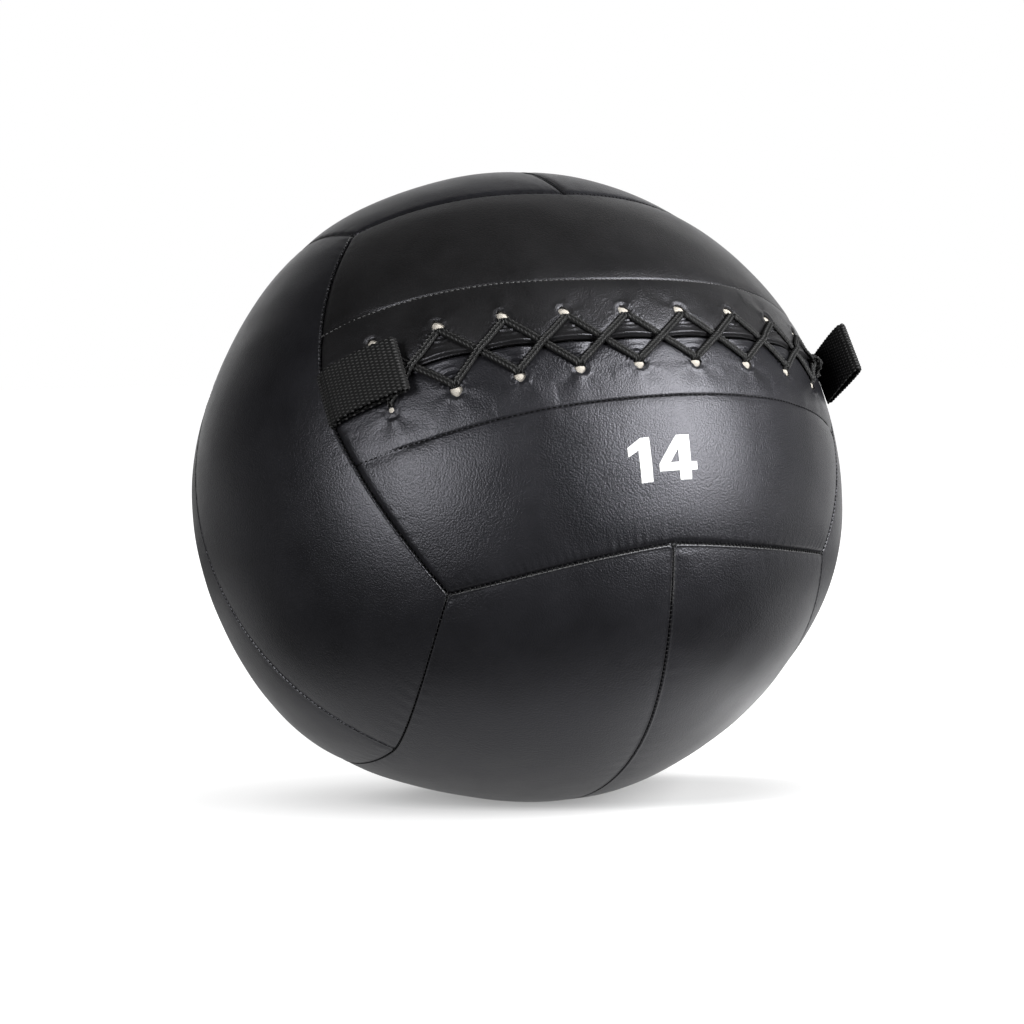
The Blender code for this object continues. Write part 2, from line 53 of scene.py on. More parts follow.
VIEW_SHIFT = (-0.0036, -0.0237)

sideways = np.array((np.cos(VIEW_TURN), np.sin(VIEW_TURN), 0.0))
ahead = np.array((-np.sin(VIEW_TURN) * np.cos(VIEW_TILT), np.cos(VIEW_TURN) * np.cos(VIEW_TILT),
                  -np.sin(VIEW_TILT)))
upwards = np.cross(sideways, ahead)


def place_in(axes, origin):
    """A 4 x 4 matrix from three axes, one a column, and the point where they meet."""
    rows = [[*row, place] for row, place in zip(np.stack(axes, axis=1), origin)]
    return Matrix(rows + [[0, 0, 0, 1]])


def new_object(name, data):
    """An object of this data, put in the scene."""
    made = bpy.data.objects.new(name, data)
    bpy.context.scene.collection.objects.link(made)
    return made


lens = bpy.data.cameras.new("view")
lens.sensor_width = 36.0
lens.lens = VIEW_LENS
lens.shift_x, lens.shift_y = VIEW_SHIFT
camera = new_object("view", lens)
camera.matrix_world = place_in((sideways, upwards, -ahead), VIEW_MIDDLE - ahead * VIEW_DISTANCE)
bpy.context.scene.camera = camera

# ---- The cover ----
# Twelve panels of black coated cloth with a fine pebble grain, sewn inside out, turned and filled
# tight. Each edge rolls in to its seam, and short puckers run from the stitches. The two front
# panels are punched with nine lace holes each, and their folded edges meet at the slit.
BALL_RADIUS = 0.178
HEIGHT_SHARE = 0.962
FLAT_DEPTH = 0.004
FACE_TILT = np.radians(35)
HALF_HEIGHT = BALL_RADIUS * HEIGHT_SHARE - FLAT_DEPTH
BALL_MIDDLE = np.array((0.0001425, -0.0001851, HALF_HEIGHT))
CUBE_EDGE = np.radians(45)
SPLIT_REACH = np.radians(52)
BEND_POWER = 1.33
SLIT_REACH = SPLIT_REACH * BALL_RADIUS
PANEL_WIDTH = CUBE_EDGE * BALL_RADIUS

COVER = 0.0014
SEAM_GAP = 0.00012
SLIT_GAP = 0.0012
# The values of a bump are its height, its width, and how far off its middle lies
PILLOW = (0.0006, 0.016)
# A seam's proud side stands up in a sharp lip, its other side slopes under it
SHOULDERS = {True: (0.0003, 0.0042), False: (0.0013, 0.0026)}
ROLLS = {True: (0.0015, 0.00035), False: (0.0010, 0.00050)}
RIDGE = (0.00032, 0.00045, 0.0008)
PROUD_FACES = ("left", "right", "bottom")
# A painted highlight on the proud seam lips next to the front face, as paler colour: its strength, width
# and distance from the seam
PAINTED_LIP_HIGHLIGHT = (2.0, 0.00034, 0.00060)
# How far a lip must face front to get the painted highlight, and how soon it comes in
LIP_HIGHLIGHT_FACING, LIP_HIGHLIGHT_EASE = 0.88, 0.10
CORNER_BLEND = 0.0009
PUCKER_DEPTH, PUCKER_WIDTH, PUCKER_PITCH = 0.00011, 0.0034, 0.0070
SWELL_SIZES = ((0.00035, 0.085, 3), (0.00010, 0.026, 5))
SWELL_EASE = 0.02
EDGE_STEPS = np.array((0.0, 0.18, 0.36, 0.54, 0.72, 0.9, 1.1, 1.35, 1.7, 2.2, 2.9, 3.8, 5.0, 6.8,
                       9.2)) / 1000
PANEL_STEP = 0.0027

HOLE_PAIRS = 9
HOLES_LEFT_MARGIN = 0.0298
HOLES_RIGHT_MARGIN = 0.0454
HOLE_MIDDLE = 0.0176
HOLE_LENGTH, HOLE_WIDTH = 0.0060, 0.0072
HOLE_POINTS = {1: (0.60, -0.0011), -1: (0.36, 0.0)}
FIRST_HOLE = 0.36
HOLE_SEGMENTS = 32
HOLE_CUT = 0.016
RIM_SINK, RIM_RISE = (0.00035, 0.10), (0.00030, 0.16, 0.30)
STRAND_REACH, STRAND_MARGIN, STRAND_PRESS = 0.0150, 0.004, (0.0007, 0.0028)
FLAP_RISE, LOWER_FLAP_DROP = (0.0011, 0.0110), (0.0008, 0.0035)
LIP_FALL, LIP_RISE, LIP_WAVER = (0.0013, 0.0008), (0.0006, 0.0010, 0.0017), 0.022
FOLD_PITCH, FOLD_START, FOLDS, FOLD_WAVER = 0.0026, 0.0010, (0.00070, 0.0046, 0.0062), 0.012
STREAK_DEPTH, STREAK_LENGTH, STREAK_START = 0.00075, 0.0130, 0.0045
DUST_WIDTH, DUST_AND_HIGHLIGHT_GREY = 0.0012, 0.10
PEBBLE_BEND = 0.0004
ROW_ENDS, ROW_MIDDLE = 0.0345, 0.0395
CHANNEL, CHANNEL_SLOPE = (0.00045, 0.00062), (0.00045, 0.0036)
FRONT_STEP_ALONG = 0.00110

# Lumps of the filled ball and drifts of its seams
LUMP_SPREAD_SHARE = 0.22
LUMP_SHARES = (
    ((0.00, -0.10, 0.99), 0.0124),
    ((-0.55, 0.15, 0.82), 0.0129),
    ((-0.87, 0.24, 0.44), -0.0112),
    ((-0.67, -0.01, -0.74), 0.0258),
    ((-0.32, -0.20, -0.93), -0.0096),
    ((0.10, -0.39, -0.92), 0.0140),
    ((0.77, -0.60, -0.23), 0.0152),
    ((0.80, -0.56, 0.19), -0.0067),
    ((0.35, 0.90, 0.20), 0.0112),
    ((-0.20, 0.80, -0.56), -0.0084),
)
DRIFT_SPREAD_SHARE = 0.36
DRIFT_SHARES = (
    ((0.00, -0.60, 0.80), (-0.0202, 0.1056, -0.1006)),
    ((0.00, 0.60, 0.80), (-0.0264, -0.0607, 0.0298)),
    ((0.00, 0.00, 1.00), (-0.0281, -0.0831, 0.0298)),
    ((0.62, 0.00, 0.78), (0.0275, 0.0000, -0.0045)),
    ((-0.62, 0.00, 0.78), (0.0331, -0.0135, -0.0472)),
    ((-1.00, -0.10, 0.00), (0.0303, 0.0213, -0.0601)),
    ((-0.85, -0.50, 0.00), (0.0528, -0.0433, -0.0393)),
    ((0.00, -1.00, 0.15), (0.0360, 0.0022, -0.0152)),
    ((-0.66, -0.37, 0.66), (0.0281, -0.0056, -0.0022)),
    ((0.45, 0.65, 0.60), (0.0062, -0.0506, 0.0253)),
)
RIGHT, UP, OUT = np.eye(3)
FACES = {
    "front": (OUT, RIGHT, UP, ("upper", "lower")),
    "rear": (-OUT, RIGHT, UP, ("upper", "lower")),
    "left": (-RIGHT, UP, OUT, ("front", "rear")),
    "right": (RIGHT, UP, OUT, ("front", "rear")),
    "top": (UP, OUT, RIGHT, ("right", "left")),
    "bottom": (-UP, OUT, RIGHT, ("right", "left")),
}
HALVES = [(face, side, face + "_" + word, np.dot(np.cross(along, across * side), axis) < 0)
          for face, (axis, along, across, words) in FACES.items() for side, word in zip((1, -1), words)]
BALL_AXES = np.array(((1, 0, 0), (0, np.sin(FACE_TILT), -np.cos(FACE_TILT)),
                      (0, np.cos(FACE_TILT), np.sin(FACE_TILT))))
HOLE_PLACES = np.linspace(HOLES_LEFT_MARGIN - SLIT_REACH, SLIT_REACH - HOLES_RIGHT_MARGIN, HOLE_PAIRS)
HOLE_PITCH = HOLE_PLACES[1] - HOLE_PLACES[0]


def unit(vectors):
    """Vectors brought to a length of 1."""
    return vectors / np.linalg.norm(vectors, axis=-1, keepdims=True)


def turns(count):
    """The angles of this many even places round a circle."""
    return np.linspace(0, 2 * np.pi, count, endpoint=False)


def square_to(vectors, line):
    """Unit vectors with what they have along the unit vectors of line taken away."""
    return unit(vectors - np.sum(vectors * line, axis=1, keepdims=True) * line)


def grid_of(first, second):
    """Two flat arrays that go through every pair of the values, the first ones slowest."""
    return (grid.ravel() for grid in np.meshgrid(first, second, indexing="ij"))


def hump(distance, height, width, place=0.0):
    """A smooth bump: height times e to the power of minus ((distance - place) / width) squared."""
    return height * np.exp(-((distance - place) / width) ** 2)


def in_ball(rays, depth, drawn=0.0):
    """Points along unit rays from the ball's middle: radius with its lumps, less depth and drawn.

    The height is a little less than the width, and what would lie below the floor is pressed flat.
    """
    reach = np.full(len(rays), BALL_RADIUS)
    for centre, share in LUMP_SHARES:
        away = np.sum((rays - unit(np.array(centre))) ** 2, axis=-1)
        reach += BALL_RADIUS * share * np.exp(-away / (2 * LUMP_SPREAD_SHARE ** 2))
    depth = np.broadcast_to(depth, reach.shape)
    points = rays * (reach - depth - drawn)[:, None] * np.array((1.0, 1.0, HEIGHT_SHARE))
    floor = depth * HEIGHT_SHARE - HALF_HEIGHT
    below = points[:, 2] < floor
    points[below] *= (floor[below] / points[below, 2])[:, None]
    return points + BALL_MIDDLE


def on_ball(directions, depth, drawn=0.0):
    """Points of the sewn net: each direction is drifted by the sewing, then followed to its depth."""
    directions = np.atleast_2d(directions)
    moved = np.array(directions, dtype=float)
    for centre, shares in DRIFT_SHARES:
        away = np.sum((directions - unit(np.array(centre))) ** 2, axis=-1, keepdims=True)
        moved = moved + np.exp(-away / (2 * DRIFT_SPREAD_SHARE ** 2)) * np.array(shares)
    return in_ball(unit(moved) @ BALL_AXES.T, depth, drawn)


def lace_direction(along, across):
    """Direction at arc lengths along the slit, to the right, and across it, upwards."""
    a, b = np.asarray(along) / BALL_RADIUS, np.asarray(across) / BALL_RADIUS
    return np.stack((np.cos(b) * np.sin(a), np.sin(b) + 0 * a, np.cos(b) * np.cos(a)), axis=-1)


def panel_directions(face, side, s, v, seam_gap, split_gap):
    """Directions of a half face at shares s along its split and v away from it, gaps left open.

    The net is a cube's, each of whose edges bows by bend(t) = (reach - edge) (1 - |t| ^ power).
    """
    root = np.sqrt(2)
    along_edge, along_end = (root * np.tan(share * np.arctan(1 / root)) for share in (s, v))
    edge_bend, end_bend = ((SPLIT_REACH - CUBE_EDGE) * (1 - np.abs(t) ** BEND_POWER)
                           for t in (along_edge, along_end))
    long_edge = np.arctan(along_edge / (root * np.cos(CUBE_EDGE - edge_bend)))
    end = np.arctan(along_end / (root * np.cos(CUBE_EDGE + end_bend)))
    x = s * (CUBE_EDGE + end_bend) + v * (long_edge - CUBE_EDGE * s)
    y = end - v * edge_bend
    x = x - s * seam_gap / 2 / BALL_RADIUS
    y = y + (split_gap * (1 - v) - seam_gap * v) / 2 / BALL_RADIUS
    axis, along, across, _ = FACES[face]
    return unit(axis + np.tan(x)[:, None] * along + np.tan(y)[:, None] * across * side)


def swell(directions, length, seed):
    """Soft uneven bumps over the ball, about -1 to 1: the mean of plane waves drawn from a seed."""
    draw = np.random.default_rng(seed)
    waves = unit(draw.normal(size=(14, 3))) * 2 * np.pi * BALL_RADIUS / length
    return 2.5 * np.sin(directions @ waves.T + draw.uniform(0, 2 * np.pi, 14)).mean(axis=-1)


def swells(directions, seam):
    """How far the cover's soft bumps draw it in, eased out towards the seams."""
    total = sum(depth * swell(directions, length, number) for depth, length, number in SWELL_SIZES)
    return total * (1 - np.exp(-seam / SWELL_EASE))


def wavering(length, pitch, seed):
    """Uneven waves along a line, about -1 to 1: the mean of sines of near lengths from a seed."""
    draw = np.random.default_rng(seed)
    lengths = pitch * draw.uniform(0.7, 1.7, 8)
    waves = 2 * np.pi * length[..., None] / lengths + draw.uniform(0, 2 * np.pi, 8)
    return 2.2 * np.sin(waves).mean(axis=-1)


def blended(a, b):
    """The smaller of two distances, rounded where they are alike: -k ln(e^(-a/k) + e^(-b/k))."""
    least = np.minimum(a, b)
    blend = least - CORNER_BLEND * np.log1p(np.exp(-np.abs(a - b) / CORNER_BLEND))
    return np.maximum(blend, 0.0)


def seam_fall(distance, proud=False):
    """How far the cover falls towards a seam: a wide pillow, a shoulder, a lip and the rolled edge."""
    shoulder, roll = SHOULDERS[proud], ROLLS[proud]
    ridge = hump(distance, *RIDGE) if proud else 0.0
    return (hump(distance, *PILLOW) + hump(distance, *shoulder) - ridge
            + roll[0] * np.exp(-distance / roll[1]))


def row_place(along):
    """How far from the slit the row of stitches lies: a shallow bow over the face."""
    return ROW_MIDDLE - (ROW_MIDDLE - ROW_ENDS) * (along / SLIT_REACH) ** 2


def lace_folds(along, across):
    """How far the front panels are drawn in by the slit, the lace, its holes and the stitch rows.

    Strands press along |across| = reach |2 share - 1|, where share runs from hole to hole, and the
    flaps swell between them. Rings of folds lie on the slit's side of each hole, streaks beyond it.
    """
    upper = across > 0
    out = np.abs(across)
    phase = (along - HOLE_PLACES[0]) / HOLE_PITCH
    share = phase - np.floor(phase)
    laced = 1 / (1 + np.exp(-(phase + 0.12) * 16)) / (1 + np.exp((phase - HOLE_PAIRS + 0.88) * 16))
    strand = np.abs(out - STRAND_REACH * np.abs(2 * share - 1)) * 0.70
    drawn = hump(strand, *STRAND_PRESS) * laced * (out < STRAND_REACH + STRAND_MARGIN)
    drawn = drawn - hump(out, *FLAP_RISE) * np.cos(np.pi * share) ** 2 * laced
    edge = out - SLIT_GAP / 2
    uneven = 0.8 + 0.35 * wavering(along, LIP_WAVER, 11)
    drawn = drawn + hump(edge, *LIP_FALL) - hump(edge, *LIP_RISE) * uneven
    drawn = drawn + np.where(upper, 0.0, hump(edge, *LOWER_FLAP_DROP))

    nearest = np.clip(np.round(phase), 0, HOLE_PAIRS - 1)
    sideways_off = along - (HOLE_PLACES[0] + nearest * HOLE_PITCH)
    outward_off = out - HOLE_MIDDLE
    ring = np.hypot(sideways_off, outward_off)
    away = outward_off / (ring + 1e-6)
    flaw = 1 + 0.5 * wavering(along + 0.4 * across, FOLD_WAVER, 13)
    folds = 1.7 * (0.5 + 0.5 * np.cos(2 * np.pi * (ring - FOLD_START) / FOLD_PITCH)) ** 2.5 - 0.6
    drawn = drawn - hump(ring, *FOLDS) * folds * np.clip(-away, 0, 1) * flaw
    angle = np.arctan2(sideways_off, outward_off)
    seed_turn = nearest * 2.1 + np.where(upper, 0.9, 0.0)
    streaks = 0.6 * np.cos(3 * angle + seed_turn) + 0.6 * np.cos(5 * angle + 2.3 * seed_turn)
    outwards = np.clip(away + 0.35, 0, 1)
    reach = np.exp(-ring / STREAK_LENGTH) * ring ** 2 / (ring ** 2 + STREAK_START ** 2)
    drawn = drawn - STREAK_DEPTH * np.where(upper, 0.7, 1.0) * streaks * outwards * reach
    rim = np.hypot(sideways_off / HOLE_LENGTH, outward_off / HOLE_WIDTH) - 0.5
    drawn = drawn + hump(rim, *RIM_SINK) - hump(rim, *RIM_RISE) * np.clip(outwards, 0.2, 1)

    row = out - row_place(along)
    return drawn + hump(row, *CHANNEL) + hump(row, *CHANNEL_SLOPE)


def face_arcs(directions):
    """Arc lengths along and across the slit of directions on the lace face."""
    along = np.arctan2(directions[:, 0], directions[:, 2]) * BALL_RADIUS
    return along, np.arcsin(np.clip(directions[:, 1], -1, 1)) * BALL_RADIUS


def cover_drawn(directions, ends, far, split, s, v, face, seed):
    """How far a panel's surface is drawn in, from its distances to its ends, far seam and split."""
    seam = blended(ends, far)
    if face != "front":
        seam = blended(seam, split)
    drawn = seam_fall(seam, face in PROUD_FACES) + swells(directions, seam)
    puckered = ((far, s * SLIT_REACH), (ends, v * PANEL_WIDTH), (split, s * SLIT_REACH))
    for number, (distance, run) in enumerate(puckered[:2] if face == "front" else puckered, start=1):
        rise = distance / PUCKER_WIDTH * np.exp(1 - distance / PUCKER_WIDTH)
        drawn = drawn + PUCKER_DEPTH * rise * wavering(run, PUCKER_PITCH, seed * 10 + number)
    if face == "front":
        drawn = drawn + lace_folds(*face_arcs(directions))
    return drawn


def stepped(length, step):
    """Distances over a width, close together at both edges, where the cover rolls in."""
    last = EDGE_STEPS[-1]
    middle = np.linspace(last, length - last, int(round((length - 2 * last) / step)) + 1)[1:-1]
    return np.concatenate((EDGE_STEPS, middle, length - EDGE_STEPS[::-1]))


def quads_of(shape, start=0):
    """Corner numbers of every square of a grid whose points are numbered column by column."""
    index = start + np.arange(shape[0] * shape[1]).reshape(shape)
    corners = (index[:-1, :-1], index[1:, :-1], index[1:, 1:], index[:-1, 1:])
    return np.stack(corners, axis=-1).reshape(-1, 4)


def tube_faces(rings, sides):
    """The squares of a closed tube of rings, and of its two flat ends, for an even number of sides."""
    index = np.arange(rings * sides).reshape(rings, sides)
    beside = np.roll(index, -1, axis=1)
    parts = [np.stack((index[:-1], beside[:-1], beside[1:], index[1:]), axis=-1).reshape(-1, 4)]
    pairs = np.arange(1, sides // 2)
    for ring in (index[0][::-1], index[-1]):
        parts.append(ring[np.stack((pairs - 1, pairs, sides - pairs - 1, sides - pairs), axis=-1)])
    return np.concatenate(parts)


def mesh_of(name, points, faces, look=None, uv=None, sharp=40):
    """A mesh object from whole arrays of points and equal-sided faces, shaded smooth."""
    data = bpy.data.meshes.new(name)
    faces = np.asarray(faces, dtype=np.int32)
    data.vertices.add(len(points))
    data.vertices.foreach_set("co", np.asarray(points, dtype=np.float32).ravel())
    data.loops.add(faces.size)
    data.loops.foreach_set("vertex_index", faces.ravel())
    data.polygons.add(len(faces))
    data.polygons.foreach_set("loop_start", np.arange(len(faces), dtype=np.int32) * faces.shape[1])
    data.update(calc_edges=True)
    data.shade_smooth()
    data.set_sharp_from_angle(angle=np.radians(sharp))
    if uv is not None:
        layer = data.uv_layers.new(name="run")
        layer.data.foreach_set("uv", np.asarray(uv, dtype=np.float32)[faces.ravel()].ravel())
    if look is not None:
        data.materials.append(look)
    return new_object(name, data)


def slab(name, outer, inner, shape, flip, look=None, uv=None, sharp=40):
    """A closed sheet between two like grids: both faces, and a wall of squares round the edge."""
    count = shape[0] * shape[1]
    index = np.arange(count).reshape(shape)
    rim = np.concatenate((index[:, 0], index[-1, 1:], index[-2::-1, -1], index[0, -2:0:-1]))
    after = np.roll(rim, -1)
    walls = np.stack((after, rim, rim + count, after + count), axis=-1)
    faces = np.concatenate((quads_of(shape), quads_of(shape, count)[:, ::-1], walls))
    if flip:
        faces = faces[:, ::-1]
    if uv is not None:
        uv = np.concatenate((uv, uv))
    return mesh_of(name, np.concatenate((outer, inner)), faces, look, uv, sharp)


def store(piece, name, values):
    """Keep one number for each point of a piece, for its material to read."""
    kept = piece.data.attributes.new(name, "FLOAT", "POINT")
    kept.data.foreach_set("value", np.asarray(values, dtype=np.float32))


def apply_modifiers(piece):
    """Make a piece's modifiers part of its mesh."""
    graph = bpy.context.evaluated_depsgraph_get()
    data = bpy.data.meshes.new_from_object(piece.evaluated_get(graph), preserve_all_data_layers=True,
                                           depsgraph=graph)
    piece.modifiers.clear()
    piece.data = data


def node(look, kind, **values):
    """A shader node with its settings and values. A value that is a socket is linked."""
    made = look.node_tree.nodes.new("ShaderNode" + kind)
    for name, value in values.items():
        if hasattr(made, name):
            setattr(made, name, value)
            continue
        place = int(name[1:]) if name[0] == "_" and name[1:].isdigit() else name.replace("_", " ")
        socket = made.inputs[place]
        if isinstance(value, bpy.types.NodeSocket):
            look.node_tree.links.new(value, socket)
        else:
            socket.default_value = value
    return made


def calc(look, operation, *values):
    """The result of one operation on numbers and sockets."""
    inputs = {f"_{place}": value for place, value in enumerate(values)}
    return node(look, "Math", operation=operation, **inputs).outputs[0]


def noise(look, where, **values):
    """The grey value of a cloudy noise at these places."""
    return node(look, "TexNoise", Vector=where, **values).outputs["Fac"]


def ramp(look, value, *stops):
    """A colour ramp over a value, from (place, grey or colour) stops."""
    made = node(look, "ValToRGB", Fac=value)
    elements = made.color_ramp.elements
    for number, (place, colour) in enumerate(stops):
        element = elements[number] if number < 2 else elements.new(place)
        element.position = place
        element.color = (*colour, 1.0) if isinstance(colour, tuple) else (colour, colour, colour, 1.0)
    return made.outputs["Color"]


def shades(look, value, colour, *stops):
    """A ramp of lighter and darker shades of one colour, from (place, share) stops."""
    return ramp(look, value, *((place, tuple(c * share for c in colour)) for place, share in stops))


def sum_of(look, *terms):
    """The sum of (socket, weight) terms, each a multiply-add on the one before."""
    total = 0.0
    for socket, weight in terms:
        total = calc(look, "MULTIPLY_ADD", socket, weight, total)
    return total


def wire(look, sockets, **sources):
    """Link a source to each named input of a shader."""
    for name, source in sources.items():
        look.node_tree.links.new(source, sockets[name.replace("_", " ")])


def raised(look, height, **values):
    """The normal of a surface with small relief of this height."""
    return node(look, "Bump", Height=height, **values).outputs[0]


def finish_of(name, colour, roughness, specular=0.5):
    """A new material and its shader, with the plain values set on the shader's own sockets."""
    look = bpy.data.materials.new(name)
    look.use_nodes = True
    shader = look.node_tree.nodes["Principled BSDF"]
    shader.inputs["Base Color"].default_value = (*colour, 1.0)
    shader.inputs["Roughness"].default_value = roughness
    shader.inputs["Specular IOR Level"].default_value = specular
    return look, shader.inputs


def coated_cloth(name, colour, roughness):
    """Coated cloth: fine bent pebbles under a millimetre, finer pores, cloudy gloss, pale seam dust, and
    a painted highlight: paler colour on the proud seam lips that face front.
    """
    look, sockets = finish_of(name, colour, roughness)
    sockets["Specular Tint"].default_value = (0.91, 0.91, 1.0, 1.0)
    where = node(look, "TexCoord").outputs["Object"]
    bend = node(look, "TexNoise", Vector=where, Scale=700.0, Detail=1.0).outputs["Color"]
    bent = node(look, "VectorMath", operation="MULTIPLY_ADD", _0=bend, _1=(PEBBLE_BEND,) * 3, _2=where)
    pebble = node(look, "TexVoronoi", feature="SMOOTH_F1", Vector=bent.outputs[0], Scale=1180.0,
                  Smoothness=0.3)
    pores = noise(look, where, Scale=3800.0, Detail=2.0, Roughness=0.7)
    drape = noise(look, where, Scale=210.0, Detail=2.0)
    height = sum_of(look, (pebble.outputs["Distance"], -1.0), (pores, 0.55), (drape, 0.22))
    cloud = noise(look, where, Scale=34.0, Detail=3.0, Roughness=0.6)
    gloss = sum_of(look, (cloud, 0.16), (pores, 0.20))
    dust_and_lip_highlight = node(look, "Attribute", attribute_name="seam_dust_and_lip_highlight").outputs["Fac"]
    grains = noise(look, where, Scale=900.0, Detail=3.0, Roughness=0.7)
    amount = calc(look, "MULTIPLY", dust_and_lip_highlight, ramp(look, grains, (0.52, 0.0), (0.75, 1.0)))
    lint = node(look, "TexVoronoi", feature="DISTANCE_TO_EDGE", Vector=where, Scale=95.0)
    flecks = noise(look, where, Scale=1500.0, Detail=1.0)
    speck = calc(look, "MULTIPLY", ramp(look, flecks, (0.73, 0.0), (0.80, 1.0)),
                 ramp(look, lint.outputs["Distance"], (0.0, 1.0), (0.02, 0.0)))
    # Where the stored value passes 1, the colour is painted pale along the seam lip: a painted highlight
    painted_lip_highlight = node(look, "Math", operation="SUBTRACT", use_clamp=True, _0=dust_and_lip_highlight, _1=1.0).outputs[0]
    total = sum_of(look, (amount, 0.6), (speck, 0.6), (painted_lip_highlight, 1.0))
    shade = shades(look, cloud, colour, (0.3, 0.8), (0.7, 1.25))
    mixed = node(look, "MixRGB", Fac=total, Color1=shade, Color2=(DUST_AND_HIGHLIGHT_GREY, DUST_AND_HIGHLIGHT_GREY, DUST_AND_HIGHLIGHT_GREY, 1.0))
    wire(look, sockets, Normal=raised(look, height, Strength=0.46, Distance=0.00026),
         Roughness=calc(look, "ADD", gloss, roughness - 0.18), Base_Color=mixed.outputs[0])
    return look


COATED = coated_cloth("coated_cover", (0.0080, 0.0080, 0.0094), 0.34)
COATED_UPPER = coated_cloth("coated_cover_upper", (0.0078, 0.0076, 0.0078), 0.35)


def punch(piece, side, middle, length, width, pointed=(0.0, 0.0)):
    """Cut the row of lace holes through a piece: ovals that narrow and lean away from the slit."""
    turn = turns(HOLE_SEGMENTS)
    beyond = np.clip(np.sin(turn) * side, 0, 1)
    oval = np.stack((np.cos(turn) * length / 2 * (1 - pointed[0] * beyond ** 2) + pointed[1] * beyond,
                     np.sin(turn) * width / 2), axis=-1)
    points, faces = [], []
    for number, along in enumerate(HOLE_PLACES):
        share = FIRST_HOLE if number == 0 and side < 0 else 1.0
        arcs = lace_direction(along + oval[:, 0] * share,
                              side * middle * (0.8 + 0.2 * share) + oval[:, 1] * share)
        points += [on_ball(arcs, -HOLE_CUT / 3), on_ball(arcs, HOLE_CUT * 2 / 3)]
        low = number * 2 * HOLE_SEGMENTS + np.arange(HOLE_SEGMENTS)
        high = low + HOLE_SEGMENTS
        faces += [tuple(low), tuple(high[::-1])]
        faces += [(a, c, d, b) for a, b, c, d in zip(low, np.roll(low, -1), high, np.roll(high, -1))]
    data = bpy.data.meshes.new("lace_holes")
    data.from_pydata(np.concatenate(points).tolist(), [], [[int(i) for i in face] for face in faces])
    shape = bmesh.new()
    shape.from_mesh(data)
    bmesh.ops.recalc_face_normals(shape, faces=shape.faces)
    shape.to_mesh(data)
    shape.free()
    cutter = new_object("lace_holes", data)
    hole = piece.modifiers.new("holes", "BOOLEAN")
    hole.operation, hole.solver, hole.object = "DIFFERENCE", "EXACT", cutter
    apply_modifiers(piece)
    bpy.data.objects.remove(cutter)


# Distances from the slit on a front panel: fine at the lip, the folds and the stitch row
FRONT_WIDTHS = np.concatenate((
    np.array((0.0, 0.3, 0.6, 0.95, 1.3, 1.7, 2.1, 2.6, 3.1, 3.7)) / 1000,
    np.arange(0.0043, 0.0275, 0.00062),
    np.arange(0.0285, 0.0330, 0.0012),
    np.arange(0.0333, 0.0412, 0.00042),
    np.linspace(0.0428, PANEL_WIDTH - EDGE_STEPS[-1], 34)[:-1],
    PANEL_WIDTH - EDGE_STEPS[::-1]))
for seed, (face, side, name, flip) in enumerate(HALVES):
    front = face == "front"
    lengths = stepped(2 * SLIT_REACH, FRONT_STEP_ALONG if front else PANEL_STEP)
    widths = FRONT_WIDTHS if front else stepped(PANEL_WIDTH, PANEL_STEP)
    s, v = grid_of(lengths / SLIT_REACH - 1, widths / PANEL_WIDTH)
    directions = panel_directions(face, side, s, v, SEAM_GAP, SLIT_GAP if front else SEAM_GAP)
    ends, far, split = (1 - np.abs(s)) * SLIT_REACH, (1 - v) * PANEL_WIDTH, v * PANEL_WIDTH
    drawn = cover_drawn(directions, ends, far, split, s, v, face, seed)
    panel = slab(name + "_cover", on_ball(directions, 0.0, drawn), on_ball(directions, COVER, drawn),
                 (len(lengths), len(widths)), flip,
                 COATED_UPPER if name == "front_upper" else COATED, sharp=50)
    seam = np.minimum(ends, far) if front else np.minimum(np.minimum(ends, far), split)
    frontwards = directions[:, 2] / np.max(np.abs(directions[:, :2]), axis=1)
    facing = np.clip((frontwards - LIP_HIGHLIGHT_FACING) / LIP_HIGHLIGHT_EASE, 0, 1) if face in PROUD_FACES else 0.0
    # Real dust near every seam. On proud lips that face front, the stored value rises above 1 for a
    # painted highlight
    lip_highlight = hump(seam, *PAINTED_LIP_HIGHLIGHT) * facing
    store(panel, "seam_dust_and_lip_highlight", np.tile(np.maximum(np.exp(-seam / DUST_WIDTH), lip_highlight), 2))
    if front:
        punch(panel, side, HOLE_MIDDLE, HOLE_LENGTH, HOLE_WIDTH, HOLE_POINTS[side])
    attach(panel, "shell")
    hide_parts(name)

# ---- The stitches ----
# Black polyester thread. In the seams it shows as a short bar over the groove at each stitch, and
# on the front panels as two rows of longer stitches that hold the strips behind the lace holes.
SEAM_STITCH_PITCH = 0.0024
SEAM_STITCH = (0.00084, 0.00030, 0.00034)
SEAM_STITCH_DEPTH = 0.0008
ROW_STITCH_PITCH = 0.0026
ROW_STITCHES = {"upper": (0.00088, 0.00028, 0.00036), "lower": (0.00106, 0.00034, 0.00036)}
ROW_STITCH_DEPTH = -0.00018
ROW_END_GAP = 0.004
STITCH_SIDES = 6
STITCH_FLOOR = 0.0012


